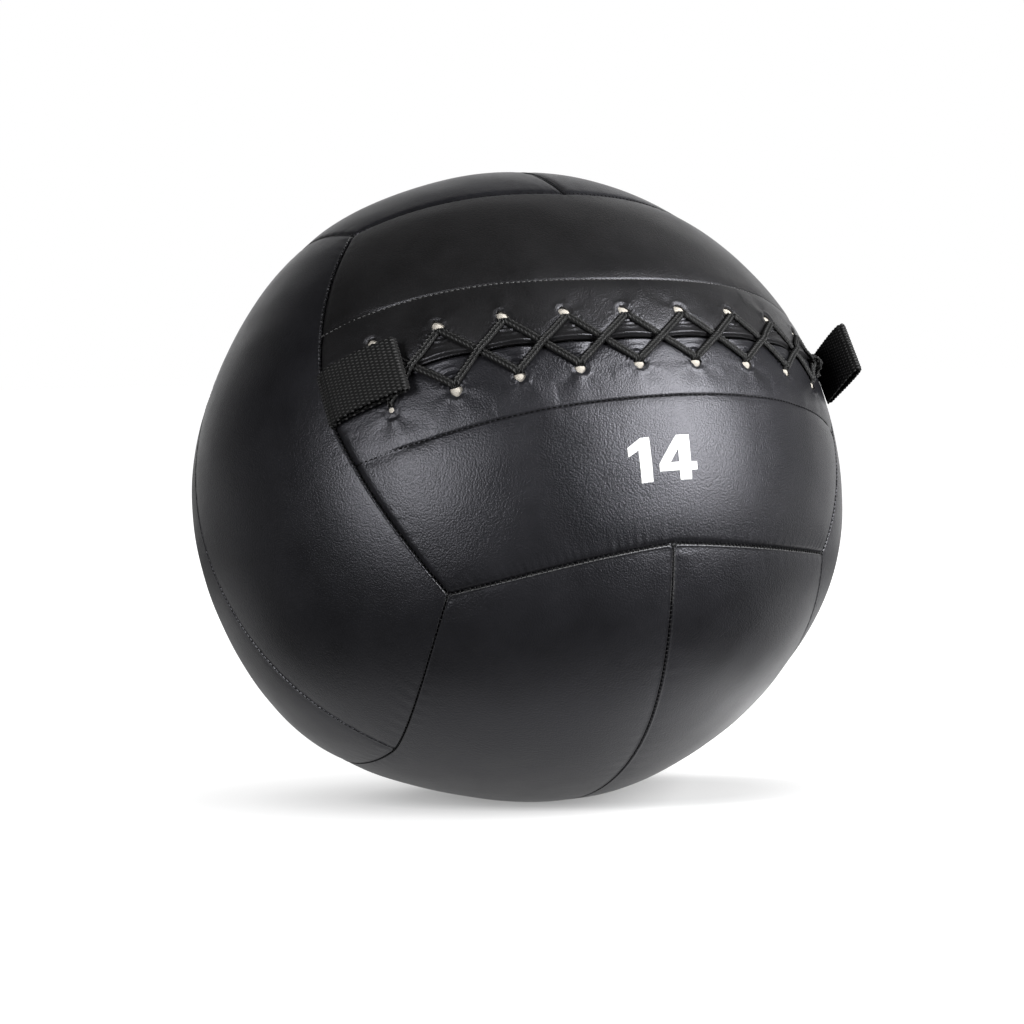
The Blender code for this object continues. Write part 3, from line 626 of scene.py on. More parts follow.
def stitch_rows(name, places, lengthwise, outwards, size, look):
    """One small arched bar at each place, all at once.

    Its rings have 0.35, 0.9, 1, 0.9 and 0.35 of its radius, and sink by arch x ^ 2 to its ends.
    """
    reach, radius, arch = size
    along = np.array((-1.0, -0.8, 0.0, 0.8, 1.0))
    girth = np.array((0.35, 0.9, 1.0, 0.9, 0.35)) * radius
    turn = turns(STITCH_SIDES)
    x = np.repeat(along * reach, STITCH_SIDES)
    y = (girth[:, None] * np.cos(turn)).ravel()
    z = (girth[:, None] * np.sin(turn)).ravel() - np.repeat(arch * along ** 2, STITCH_SIDES)
    sideways_of = np.cross(outwards, lengthwise)
    points = (places[:, None] + x[None, :, None] * lengthwise[:, None]
              + y[None, :, None] * sideways_of[:, None] + z[None, :, None] * outwards[:, None])
    faces = tube_faces(len(along), STITCH_SIDES)
    every = (faces[None] + len(x) * np.arange(len(places))[:, None, None]).reshape(-1, 4)
    return mesh_of(name, points.reshape(-1, 3), every, look, sharp=80)


def run_of(points):
    """How far along a line of points each one lies."""
    return np.concatenate(([0.0], np.cumsum(np.linalg.norm(np.diff(points, axis=0), axis=1))))


def places_at(at, run, points):
    """Places on a line of points, at lengths along it."""
    return np.stack([np.interp(at, run, points[:, k]) for k in range(3)], axis=-1)


def evenly(points, pitch):
    """Places at even steps of a line of points, and the line's direction there."""
    run = run_of(points)
    at = np.arange(pitch / 2, run[-1], pitch)
    step = pitch / 4
    heading = unit(places_at(at + step, run, points) - places_at(at - step, run, points))
    return places_at(at, run, points), heading


def sewing_thread(name, colour, specular=0.5):
    """Twisted thread: fine slanted ridges from a stretched noise, its colour painted lighter on the
    ridges and darker between them, a little sheen.
    """
    look, sockets = finish_of(name, colour, 0.5, specular)
    where = node(look, "TexCoord").outputs["Object"]
    twist = noise(look, where, Scale=5200.0, Detail=2.0)
    # The noise that raises the ridges also paints them lighter: painted light and shade
    wire(look, sockets, Normal=raised(look, twist, Strength=0.5, Distance=0.00008),
         Base_Color=shades(look, twist, colour, (0.35, 0.6), (0.65, 1.6)))
    sockets["Sheen Weight"].default_value = 0.25 if specular > 0.2 else 0.0
    return look


THREAD = sewing_thread("seam_thread", (0.0060, 0.0060, 0.0064), 0.15)
ROW_THREADS = {"upper": sewing_thread("grey_thread", (0.045, 0.045, 0.045)),
               "lower": sewing_thread("black_thread", (0.0030, 0.0030, 0.0030), 0.05)}
share = np.linspace(-1, 1, 241)
for face in FACES:
    lines = [(1, share, np.ones_like(share)), (-1, share, np.ones_like(share))]
    if face != "front":
        lines.append((1, share, np.zeros_like(share)))
    found = []
    for side, s, v in lines:
        directions = panel_directions(face, side, s, v, 0.0, 0.0)
        places, heading = evenly(on_ball(directions, 0.0, SEAM_STITCH_DEPTH), SEAM_STITCH_PITCH)
        outwards = unit(places - BALL_MIDDLE)
        lifted = places[:, 2] > STITCH_FLOOR
        found.append((places[lifted], unit(np.cross(outwards, heading))[lifted], outwards[lifted]))
    places, lengthwise, outwards = (np.concatenate(part) for part in zip(*found))
    thread = stitch_rows(face + "_seam_thread", places, lengthwise, square_to(outwards, lengthwise),
                         SEAM_STITCH, THREAD)
    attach(thread, "shell")

for word, side in (("upper", 1), ("lower", -1)):
    along = np.linspace(ROW_END_GAP - SLIT_REACH, SLIT_REACH - ROW_END_GAP, 400)
    across = side * row_place(along)
    directions = lace_direction(along, across)
    drawn = (lace_folds(along, across) + seam_fall(SLIT_REACH - np.abs(along))
             + swells(directions, np.inf))
    places, heading = evenly(on_ball(directions, ROW_STITCH_DEPTH, drawn), ROW_STITCH_PITCH)
    thread = stitch_rows(word + "_strip_stitches", places, heading,
                         square_to(unit(places - BALL_MIDDLE), heading), ROW_STITCHES[word],
                         ROW_THREADS[word])
    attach(thread, "shell")

# ---- The number ----
# A plain white number, screen printed on the lower front panel, with the cover's grain under it.
# The outlines of a 1 and a 4, and of the 4's opening, for a height of 1
NUMBER_LINES = (
    ((0.20, 0.0), (0.42, 0.0), (0.42, 1.0), (0.26, 1.0), (0.0, 0.80), (0.0, 0.59), (0.20, 0.72)),
    ((0.94, 0.0), (1.16, 0.0), (1.16, 0.20), (1.28, 0.20), (1.28, 0.38), (1.16, 0.38), (1.16, 1.0),
     (0.92, 1.0), (0.56, 0.36), (0.56, 0.20), (0.94, 0.20)),
    ((0.77, 0.38), (0.94, 0.38), (0.94, 0.69)),
)
NUMBER_HEIGHT = 0.0240
NUMBER_MIDDLE = (-0.0040, -0.0765)
NUMBER_STRETCH = 1.18
NUMBER_CELL = 0.0022
NUMBER_RISE, NUMBER_SINK = 0.00014, 0.00035
WELD = 0.00001


def read_rows(items, name, kind=float):
    """Rows of three numbers: the places of points, or the corners of triangles."""
    values = np.empty(len(items) * (3 if name == "co" else 1), dtype=kind)
    items.foreach_get(name, values)
    return values.reshape(-1, 3)


def printed_number(look):
    """Lay the flat number on the ball: x and y become arc lengths along and across the lace face."""
    words = bpy.data.curves.new("number", "CURVE")
    words.dimensions, words.fill_mode = "2D", "BOTH"
    for line in NUMBER_LINES:
        spline = words.splines.new("POLY")
        spline.points.add(len(line) - 1)
        spline.points.foreach_set("co", [value for x, y in line for value in (x, y, 0.0, 1.0)])
        spline.use_cyclic_u = True
    flat = new_object("number_flat", words)
    graph = bpy.context.evaluated_depsgraph_get()
    data = bpy.data.meshes.new_from_object(flat.evaluated_get(graph), depsgraph=graph)
    bpy.data.objects.remove(flat)
    points = read_rows(data.vertices, "co")
    low, high = points.min(axis=0), points.max(axis=0)
    scale = NUMBER_HEIGHT / (high[1] - low[1])
    points = (points - (low + high) / 2) * np.array((scale * NUMBER_STRETCH, scale, 0.0))
    data.vertices.foreach_set("co", points.ravel())
    shape = bmesh.new()
    shape.from_mesh(data)
    bmesh.ops.remove_doubles(shape, verts=shape.verts, dist=WELD)
    for axis in (0, 1):
        reach = np.abs(points[:, axis]).max()
        for place in np.arange(-reach + NUMBER_CELL, reach, NUMBER_CELL):
            plane, normal = np.zeros(3), np.zeros(3)
            plane[axis], normal[axis] = place, 1.0
            everything = shape.verts[:] + shape.edges[:] + shape.faces[:]
            bmesh.ops.bisect_plane(shape, geom=everything, plane_co=plane, plane_no=normal,
                                   dist=WELD / 10)
    bmesh.ops.triangulate(shape, faces=shape.faces)
    if sum(face.normal.z for face in shape.faces) < 0:
        bmesh.ops.reverse_faces(shape, faces=shape.faces)
    shape.to_mesh(data)
    rim = np.array([[vertex.index for vertex in (loop.vert, loop.link_loop_next.vert)]
                    for face in shape.faces for loop in face.loops if loop.edge.is_boundary])
    shape.free()
    corners = read_rows(data.loops, "vertex_index", np.int32)
    along, across = read_rows(data.vertices, "co")[:, :2].T + np.array(NUMBER_MIDDLE)[:, None]
    directions, seam, count = lace_direction(along, across), PANEL_WIDTH + across, len(along)
    drawn = lace_folds(along, across) + seam_fall(seam) + swells(directions, seam)
    points = np.concatenate([on_ball(directions, depth, drawn) for depth in (-NUMBER_RISE, NUMBER_SINK)])
    start, end = rim.T
    walls = [np.stack(three, axis=1) for three in ((end, start, start + count),
                                                   (end, start + count, end + count))]
    faces = np.concatenate((corners, corners[:, ::-1] + count, *walls))
    return mesh_of("printed_number", points, faces, look, sharp=50)


def print_ink(name):
    """White screen ink: the pebbles of the cloth show through it, and it is rubbed thin in places."""
    look, sockets = finish_of(name, (0.80, 0.80, 0.80), 0.45)
    where = node(look, "TexCoord").outputs["Object"]
    pebble = node(look, "TexVoronoi", feature="SMOOTH_F1", Vector=where, Scale=760.0, Smoothness=0.6)
    pores = noise(look, where, Scale=2600.0, Detail=2.0)
    height = sum_of(look, (pebble.outputs["Distance"], -1.0), (pores, 0.4))
    wire(look, sockets, Normal=raised(look, height, Strength=0.35, Distance=0.00012),
         Base_Color=ramp(look, pores, (0.30, (0.70, 0.70, 0.71)), (0.55, (0.84, 0.84, 0.84))))
    return look


number_mark = printed_number(print_ink("white_ink"))
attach(number_mark, "shell")

# ---- The filling ----
# Behind each panel lies a pad of grey foam. The pads wrap a sewn canvas bag of shredded cloth in
# two halves, and in its middle a canvas pouch holds the sand that gives the ball its weight.
FOAM = 0.0110
FOAM_DEPTH = COVER + 0.0007
FOAM_ROUND, FOAM_ROUND_WIDTH = 0.0040, 0.0050
FABRIC = 0.0010
BAG_DEPTH = FOAM_DEPTH + FOAM + 0.0024
POUCH_RADIUS = 0.084
STUFFING_CLEARANCE, STUFFING_BUMPS = 0.0008, 0.0012
HALF_GAP = 0.0004
FOAM_SHAPE = (73, 33)
FOAM_LENGTH, FOAM_START, FOAM_FRONT_START, FOAM_END = 0.95, 0.05, 0.375, 0.945
LAYER_RINGS, LAYER_SIDES = 20, 56
LUMP_LENGTH = 0.03


def rough_fill(name, colour, scale, depth):
    """A loose or foamed filling: cells or fibres of two sizes, their colour painted lighter on their
    tops and darker in the hollows.
    """
    look, sockets = finish_of(name, colour, 0.9, 0.2)
    where = node(look, "TexCoord").outputs["Object"]
    cells = node(look, "TexVoronoi", Vector=where, Scale=scale)
    fine = noise(look, where, Scale=scale * 2.5, Detail=4.0, Roughness=0.7)
    height = sum_of(look, (cells.outputs["Distance"], 0.8), (fine, 1.0))
    # The fine noise that raises the tops also paints them lighter: painted light and shade
    wire(look, sockets, Normal=raised(look, height, Strength=0.8, Distance=depth),
         Base_Color=shades(look, fine, colour, (0.30, 0.65), (0.70, 1.3)))
    return look


def layer_half(name, profile, side, look):
    """Turn a closed profile of (angle from the side, depth, extra drawn) round the ball's side axis.

    A ray is (cos angle, sin angle cos turn, sin angle sin turn). The first and last rings are poles.
    """
    a, depth, bumps = np.repeat(profile, LAYER_SIDES, axis=0).T
    turn = np.tile(turns(LAYER_SIDES), len(profile))
    rays = np.stack((side * np.cos(a), np.sin(a) * np.cos(turn), side * np.sin(a) * np.sin(turn)),
                    axis=-1)
    drawn = bumps * (1 + swell(rays, LUMP_LENGTH, 31)) * np.sin(2 * np.clip(a, 0, np.pi / 2)) ** 2
    points = in_ball(rays, depth, drawn) + side * HALF_GAP / 2 * RIGHT
    faces = tube_faces(len(profile), LAYER_SIDES)[:, (0, 3, 2, 1)]
    return mesh_of(name, points, faces, look, sharp=50)


FOAM_LOOK = rough_fill("grey_foam", (0.20, 0.20, 0.21), 1300.0, 0.0004)
STUFFING_LOOK = rough_fill("shredded_cloth", (0.26, 0.26, 0.28), 260.0, 0.0020)
SAND_LOOK = rough_fill("weight_sand", (0.30, 0.24, 0.17), 900.0, 0.0006)
BAG_LOOK = rough_fill("bag_canvas", (0.34, 0.32, 0.28), 1500.0, 0.0002)
for face, side, name, flip in HALVES:
    start = FOAM_FRONT_START if face == "front" else FOAM_START
    s, v = grid_of(np.linspace(-FOAM_LENGTH, FOAM_LENGTH, FOAM_SHAPE[0]),
                   np.linspace(start, FOAM_END, FOAM_SHAPE[1]))
    directions = panel_directions(face, side, s, v, 0.0, 0.0)
    edge = np.minimum((FOAM_LENGTH - np.abs(s)) * SLIT_REACH,
                      np.minimum(FOAM_END - v, v - start) * PANEL_WIDTH)
    rounded = FOAM_ROUND * np.exp(-edge / FOAM_ROUND_WIDTH)
    pillow = hump(np.minimum((1 - np.abs(s)) * SLIT_REACH, (1 - v) * PANEL_WIDTH), *PILLOW)
    pad = slab(name + "_foam_pad", on_ball(directions, FOAM_DEPTH, pillow + rounded),
               on_ball(directions, FOAM_DEPTH + FOAM, pillow - rounded), FOAM_SHAPE, flip, FOAM_LOOK,
               sharp=50)
    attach(pad, "shell")
    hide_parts(name + "_foam")

POLE = np.radians(2.5)
quarter = np.linspace(POLE, np.pi / 2, LAYER_RINGS)
pouch_depth = BALL_RADIUS - POUCH_RADIUS
stuffing_depth = BAG_DEPTH + FABRIC + STUFFING_CLEARANCE
LAYERS = (
    ("bag", "canvas_bag", BAG_DEPTH, BAG_DEPTH + FABRIC, 0.0, "bag_canvas", BAG_LOOK, None),
    ("stuffing", "cloth_stuffing", stuffing_depth, pouch_depth - STUFFING_CLEARANCE, STUFFING_BUMPS,
     "shredded_stuffing", STUFFING_LOOK, 0.9),
    ("pouch", "sand_pouch", pouch_depth, pouch_depth + FABRIC, 0.0, "bag_canvas", BAG_LOOK, None),
)
for node_word, piece_word, outer_depth, inner_depth, bumps, slot, look, fill in LAYERS:
    profile = [(a, outer_depth, bumps) for a in quarter] + [(a, inner_depth, 0.0) for a in quarter[::-1]]
    for word, side in (("left", -1), ("right", 1)):
        half = layer_half(word + "_" + piece_word, profile, side, look)
        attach(half, "shell")
        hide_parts(word + "_" + node_word)
sand_depth = pouch_depth + FABRIC + STUFFING_CLEARANCE
profile = [(a, sand_depth, 0.0) for a in np.linspace(POLE, np.pi - POLE, 2 * LAYER_RINGS)]
weight = layer_half("sand_weight", profile, 1, SAND_LOOK)
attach(weight, "shell")
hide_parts("sand")

# ---- The strips and the tongue ----
# Two strips of cream cotton canvas lie behind the rows of holes, and the pull of the lace lifts
# their punched edges into the holes. Below the slit lies a tongue of the cover's own cloth.
STRIP = 0.0012
STRIP_CLEARANCE = 0.0014
STRIP_DEPTH = COVER + STRIP_CLEARANCE
STRIP_EDGES = (0.0047, 0.0378)
STRIP_END_CLEARANCE = 0.0106
STRIP_HOLE_MIDDLE = 0.0149
STRIP_HOLE_LENGTH, STRIP_HOLE_WIDTH = 0.0072, 0.0036
STRIP_LIFT, STRIP_LIFT_LENGTHENED = (0.0027, 0.0036), 1.05
STRIP_SHAPE, TONGUE_SHAPE = (300, 48), (120, 40)
TONGUE = 0.0012
TONGUE_EDGE = 0.0330
TONGUE_END_CLEARANCE = 0.0136
TONGUE_DEPTH = 0.0139
TONGUE_WAVE = 0.00025


def woven(name, colour, roughness, pitch):
    """Plain weave on the piece's own run: warp and weft ridges that cover each other in turn. Its colour
    varies with random slubs and is painted a little paler where the weave and its fuzz stand up.
    """
    look, sockets = finish_of(name, colour, roughness, 0.3)
    run = node(look, "UVMap", uv_map="run").outputs[0]
    parts = node(look, "SeparateXYZ", _0=run).outputs
    over = calc(look, "MULTIPLY", *(
        calc(look, "SINE", calc(look, "MULTIPLY", parts[axis], np.pi / pitch)) for axis in ("X", "Y")))
    fuzz = noise(look, run, Scale=1400.0, Detail=3.0, Roughness=0.7)
    slub = noise(look, run, Scale=90.0, Detail=3.0)
    height = sum_of(look, (over, 1.0), (fuzz, 0.7))
    # Random slubs, and a painted highlight where the weave and fuzz stand up
    tone = sum_of(look, (over, 0.10), (slub, 0.35), (fuzz, 0.35))
    wire(look, sockets, Normal=raised(look, height, Strength=0.5, Distance=0.00022),
         Base_Color=shades(look, tone, colour, (0.05, 0.70), (0.60, 1.12)))
    return look


def strip_rise(along, across):
    """How far the strip is pulled up into the lace holes: a ring-shaped swell at each hole."""
    nearest = np.clip(np.round((along - HOLE_PLACES[0]) / HOLE_PITCH), 0, HOLE_PAIRS - 1)
    sideways_off = along - HOLE_PLACES[0] - nearest * HOLE_PITCH
    ring = np.hypot(sideways_off / STRIP_LIFT_LENGTHENED, np.abs(across) - HOLE_MIDDLE)
    return hump(ring, *STRIP_LIFT)


CANVAS = woven("cream_canvas", (0.50, 0.465, 0.41), 0.85, 0.00055)
for word, side in (("upper", 1), ("lower", -1)):
    low, high = sorted((side * STRIP_EDGES[0], side * STRIP_EDGES[1]))
    reach = SLIT_REACH - STRIP_END_CLEARANCE
    along, across = grid_of(np.linspace(-reach, reach, STRIP_SHAPE[0]),
                            np.linspace(low, high, STRIP_SHAPE[1]))
    drawn = seam_fall(SLIT_REACH - np.abs(along)) - strip_rise(along, across)
    directions = lace_direction(along, across)
    strip = slab(word + "_canvas_strip", on_ball(directions, STRIP_DEPTH, drawn),
                 on_ball(directions, STRIP_DEPTH + STRIP, drawn), STRIP_SHAPE, False, CANVAS,
                 np.stack((along, across), axis=-1))
    punch(strip, side, STRIP_HOLE_MIDDLE, STRIP_HOLE_LENGTH, STRIP_HOLE_WIDTH)
    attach(strip, "shell")
    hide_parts(word + "_eyelet_strip")

reach = SLIT_REACH - TONGUE_END_CLEARANCE
along, across = grid_of(np.linspace(-reach, reach, TONGUE_SHAPE[0]),
                        np.linspace(-TONGUE_EDGE, TONGUE_EDGE, TONGUE_SHAPE[1]))
directions = lace_direction(along, across)
drawn = seam_fall(SLIT_REACH - np.abs(along)) + TONGUE_WAVE * swell(directions, LUMP_LENGTH, 21)
tongue = slab("tongue_sheet", on_ball(directions, TONGUE_DEPTH, drawn),
              on_ball(directions, TONGUE_DEPTH + TONGUE, drawn), TONGUE_SHAPE, False, COATED)
store(tongue, "seam_dust_and_lip_highlight", np.zeros(len(tongue.data.vertices)))
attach(tongue, "shell")
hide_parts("tongue")

# ---- The lace ----
# One flat black braid with two plaited ribs. Both ends come up through a pair of holes and cross
# over to the next pair, on and on, and are tied at the right end of the slit.
LACE_WIDTH, LACE_THICKNESS = 0.0037, 0.0017
LACE_STEP = 0.00034
LACE_SIDES = 20
BRAID_PITCH, BRAID_RELIEF, RIB_RELIEF = 0.0021, 0.00036, 0.00060
LOBE_POWER, LOBE_MIDDLE, PLAIT_SLANT = 0.75, 0.48, 0.70
LACE_EASE = 7
LACE_LIFT, LACE_BELOW = 0.0008, 0.0052
# Where two strands cross, the right hand's rises and the left hand's sinks
LACE_CROSSING = {1: (0.0016, 0.0052), -1: (-0.0003, 0.0052)}
LACE_SPACING = 0.00078
TURN_MIDDLE, TURN_DEPTH = 0.0155, 0.0019
HOLE_GATHER, HOLE_GATHER_LIFT = (1 - 0.76, 0.0022), 0.0006
KNOT_START, KNOT_LENGTH, KNOT_RADIUS = 0.0060, 0.0095, 0.0021
KNOT_TURN_START, KNOT_TURN = 0.003, 0.004
BACK_SHIFT = 0.01
TAIL_RUN, TAIL_SPREAD = 0.0030, 0.0060
NUDGE = 0.0002
TURN_ANGLES = np.radians((90, 67, 45, 22, 0, -22, -45, -67, -90))
RUN_SHARES = np.linspace(0, 1, 17)[1:-1]
BELOW_SHARES = np.array((-1.0, -0.5, 0.0, 0.5, 1.0))


def turn_rows(along, side, slant, downwards):
    """A strand's turn through a hole: half an oval square to the slit, its top leaning along it."""
    rise = np.sin(TURN_ANGLES)
    rows = np.stack((along + slant * np.maximum(rise, 0) ** 2,
                     side * (TURN_MIDDLE - TURN_DEPTH * (1 - np.cos(TURN_ANGLES))),
                     (LACE_LIFT - LACE_BELOW) / 2 + (LACE_LIFT + LACE_BELOW) / 2 * rise), axis=1)
    return rows if downwards else rows[::-1]


def lace_end(hand):
    """Half of the lace from the first pair of holes to its tail, as (along, across, lift) rows."""
    up = turn_rows(HOLE_PLACES[0], -hand, LACE_SPACING, False)
    rows = [np.array(((HOLE_PLACES[0], -hand * HOLE_MIDDLE / 2, up[0, 2]),)), up]
    length = np.hypot(HOLE_PITCH, 2 * TURN_MIDDLE)
    for along in HOLE_PLACES[1:]:
        down = turn_rows(along - LACE_SPACING, hand, -LACE_SPACING, True)
        last = rows[-1][-1]
        run = last + (down[0] - last) * RUN_SHARES[:, None]
        run[:, 2] += hump((RUN_SHARES - 0.5) * length, *LACE_CROSSING[hand])
        level = up[0, 2] - (0.0 if hand > 0 else LACE_THICKNESS * 1.3) * (1 - BELOW_SHARES ** 2)
        below = np.stack((along + BELOW_SHARES * LACE_SPACING, -hand * BELOW_SHARES * HOLE_MIDDLE / 3,
                          level), axis=1)
        up = turn_rows(along + LACE_SPACING, -hand, LACE_SPACING, False)
        rows += [run, down, below, up]
    start = HOLE_PLACES[-1] + KNOT_START
    share = np.linspace(0, 1, 17)
    rows.append(np.array(((HOLE_PLACES[-1] + KNOT_START * 0.6, -hand * HOLE_MIDDLE / 2.4,
                           LACE_LIFT + 2 * NUDGE),)))
    knot = np.stack((start + KNOT_LENGTH * share, -hand * KNOT_RADIUS * np.cos(2 * np.pi * share),
                     LACE_LIFT + KNOT_RADIUS * 0.8 - hand * KNOT_RADIUS * np.sin(2 * np.pi * share)),
                    axis=1)
    tail_share = np.array((0.5, 0.8, 1.0))[:, None]
    tail = knot[-1] + tail_share * np.array((TAIL_RUN, -hand * (TAIL_SPREAD - KNOT_RADIUS), 0.0))
    tail[:, 2] = LACE_LIFT
    return np.concatenate([*rows, knot, tail])


def smooth_path(points, step):
    """Even points along a smooth curve through given ones: a Catmull-Rom run, then spaced by length."""
    before = np.vstack((2 * points[0] - points[1], points[:-1]))
    slope = (np.vstack((points[1:], 2 * points[-1] - points[-2])) - before) / 2
    t = np.linspace(0, 1, 12, endpoint=False)[None, :, None]
    p, q, m, n = points[:-1, None], points[1:, None], slope[:-1, None], slope[1:, None]
    curve = (p * (2 * t ** 3 - 3 * t ** 2 + 1) + m * (t ** 3 - 2 * t ** 2 + t)
             + q * (3 * t ** 2 - 2 * t ** 3) + n * (t ** 3 - t ** 2)).reshape(-1, 3)
    curve = np.vstack((curve, points[-1]))
    length = run_of(curve)
    even = np.linspace(0, length[-1], int(length[-1] / step) + 1)
    return places_at(even, length, curve), even


def braid(look):
    """Carry an oval section with two lobes along the lace's path, its width square to its run.

    The width lies along (|c| + |t|, -a c / |c|) of the face, for a run (a, c, t) along, across and
    out of it. Ridges of height cos(2 pi (run / pitch - slant)) make each lobe a plait.
    """
    first, second = lace_end(-1), lace_end(1)
    rows = np.vstack((first[::-1], (HOLE_PLACES[0], 0.0, second[0, 2]), second))
    path, run = smooth_path(rows, LACE_STEP)
    heading = unit(np.gradient(path, axis=0))
    a, c, t = heading.T
    knotted = np.clip((path[:, 0] - HOLE_PLACES[-1] - KNOT_TURN_START) / KNOT_TURN, 0, 1)
    across = np.stack((np.abs(c) + np.abs(t), -a * c / (np.abs(c) + 0.3 * np.abs(t) + 0.05), 0 * a),
                      axis=1)
    sign = np.where(run < run[-1] / 2, -1.0, 1.0)
    flat = np.stack((0 * a, np.ones_like(a), 0.6 * sign), axis=1)
    across = unit(across) * (1 - knotted)[:, None] + unit(flat) * knotted[:, None]
    kernel = np.ones(2 * LACE_EASE + 1) / (2 * LACE_EASE + 1)
    eased = np.pad(across.T, ((0, 0), (LACE_EASE, LACE_EASE)), mode="edge")
    across = np.stack([np.convolve(part, kernel, mode="valid") for part in eased], axis=-1)
    places, east, north = (on_ball(lace_direction(path[:, 0] + right, path[:, 1] + up), -path[:, 2])
                           for right, up in ((0, 0), (NUDGE, 0), (0, NUDGE)))
    east, north = unit(east - places), unit(north - places)
    out = unit(np.cross(east, north))
    wide = across[:, :1] * east + across[:, 1:2] * north + across[:, 2:] * out
    heading = unit(np.gradient(places, axis=0))
    wide = square_to(wide, heading)
    thick = np.cross(heading, wide)
    turn, length = np.meshgrid(turns(LACE_SIDES), run)
    w, face = np.cos(turn), np.sign(np.sin(turn))
    lobe = np.abs(np.sin(turn)) ** LOBE_POWER * face
    in_hole = hump(np.abs(path[:, 1]) - TURN_MIDDLE, *HOLE_GATHER) * (path[:, 2] < HOLE_GATHER_LIFT)
    gather = 1 - in_hole[:, None]
    slant = PLAIT_SLANT * (np.abs(w) - LOBE_MIDDLE) / LOBE_MIDDLE * face
    plait = np.cos(2 * np.pi * (length / BRAID_PITCH - slant))
    rib = np.cos(2 * np.pi * np.abs(w) - np.pi) * 0.5 + 0.5
    relief = BRAID_RELIEF * plait * (0.35 + 0.65 * rib) + RIB_RELIEF * (rib - 0.6)
    width = LACE_WIDTH / 2 * gather * (1 + 0.05 * plait * np.abs(w) ** 4)
    height = (LACE_THICKNESS / 2 + relief) / np.sqrt(gather)
    places = (places[:, None] + wide[:, None] * (w * width)[..., None]
              + thick[:, None] * (lobe * height)[..., None])
    uv = np.stack((length, w * LACE_WIDTH / 2 + np.where(np.sin(turn) < 0, BACK_SHIFT, 0.0)), axis=-1)
    made = mesh_of("lace_braid", places.reshape(-1, 3), tube_faces(len(run), LACE_SIDES), look,
                   uv.reshape(-1, 2), sharp=80)
    # Where the plaits stand up, the yarn's colour is painted pale: a painted sheen
    store(made, "rise", (np.clip(0.5 + 0.5 * plait, 0, 1) * rib ** 1.1 * 1.1).ravel())
    return made


def yarn(name, dark, light, pitch):
    """Black polyester yarn: fine slanted threads along the run, its colour painted paler where the weave
    stands up, a painted sheen.
    """
    look, sockets = finish_of(name, (dark, dark, dark), 0.55, 0.2)
    parts = node(look, "SeparateXYZ", _0=node(look, "UVMap", uv_map="run").outputs[0]).outputs
    slant = calc(look, "MULTIPLY_ADD", parts["Y"], 1.4, parts["X"])
    threads = calc(look, "SINE", calc(look, "MULTIPLY", slant, 2 * np.pi / pitch))
    fuzz = noise(look, node(look, "TexCoord").outputs["Object"], Scale=3200.0, Detail=2.0, Roughness=0.7)
    height = sum_of(look, (threads, 0.5), (fuzz, 0.9))
    # A painted sheen: the colour is paler where the stored rise is high
    painted_sheen = node(look, "Attribute", attribute_name="rise").outputs["Fac"]
    tone = sum_of(look, (painted_sheen, 1.0), (fuzz, 0.5), (threads, 0.05))
    wire(look, sockets, Normal=raised(look, height, Strength=0.6, Distance=0.00012),
         Base_Color=ramp(look, tone, (0.58, dark), (0.98, light)))
    return look


LACE_YARN = yarn("lace_yarn", 0.0028, 0.060, 0.0005)
lace = braid(LACE_YARN)
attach(lace, "shell")
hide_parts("lace")

# ---- The webbing loops ----
# A band of black polyester webbing, folded in two at each end of the slit. Its two ends are sewn
# into the seam there. The left one lies over the end of the lace.
WEB_WIDTH = 0.0284
WEB = 0.0015
ROOT_LIFT = 0.0022
TAIL_TOP, TAIL_DEPTH, TAIL_THICKNESS = -0.0038, 0.0106, 0.0031
WEFT_PITCH, WARP_PITCH, WEAVE_RELIEF = 0.0023, 0.00165, 0.00042
SELVEDGE_SWAY = 0.00022
LOOP_STEP = 0.00035
WEB_STEPS = 100
BEND_START, BEND_LENGTH = 0.0005, 0.0085
# Points of the left band's middle line: arc along the surface from the seam, and height above it
LEFT_BAND = ((0.0010, -0.0034), (0.0015, -0.0012), (0.0037, 0.0003), (0.0100, 0.0013), (0.0190, 0.0020),
             (0.0290, 0.0029), (0.0360, 0.0037), (0.0405, 0.0042), (0.0430, 0.0047), (0.0441, 0.0058),
             (0.0430, 0.0069), (0.0405, 0.0073), (0.0350, 0.0072), (0.0260, 0.0066), (0.0170, 0.0056),
             (0.0090, 0.0041), (0.0054, 0.0028), (0.0040, 0.0013), (0.0033, -0.0008), (0.0031, -0.0034))
LEFT_SHIFT, LEFT_SKEW, LEFT_TAIL = -0.0013, -0.065, 0.0016
# Points of the right band's middle line: distance along its slant from the seam, and to its outer side
RIGHT_SLANT = np.radians(146)
RIGHT_BAND = ((-0.0010, 0.0012), (0.0010, 0.0012), (0.0050, 0.0014), (0.0110, 0.0018), (0.0190, 0.0022),
              (0.0260, 0.0023), (0.0310, 0.0020), (0.0333, 0.0010), (0.0338, 0.0000), (0.0333, -0.0010),
              (0.0310, -0.0020), (0.0260, -0.0023), (0.0190, -0.0022), (0.0110, -0.0018),
              (0.0050, -0.0014), (0.0010, -0.0012), (-0.0010, -0.0012))
RIGHT_SHIFT, RIGHT_SINK, RIGHT_END_SINK = 0.0032, 0.0012, 0.0021


def surface_frame(along, lift):
    """Place on the slit's line: columns X to the right, Y up and Z out of the ball, and origin."""
    right, up = (on_ball(lace_direction(along + x, y), 0.0) - on_ball(lace_direction(along - x, -y), 0.0)
                 for x, y in ((WEB, 0.0), (0.0, WEB)))
    y = unit(up[0])
    z = unit(np.cross(unit(right[0]), y))
    return np.stack((np.cross(y, z), y, z), axis=1), on_ball(lace_direction(along, 0.0), -lift)[0]


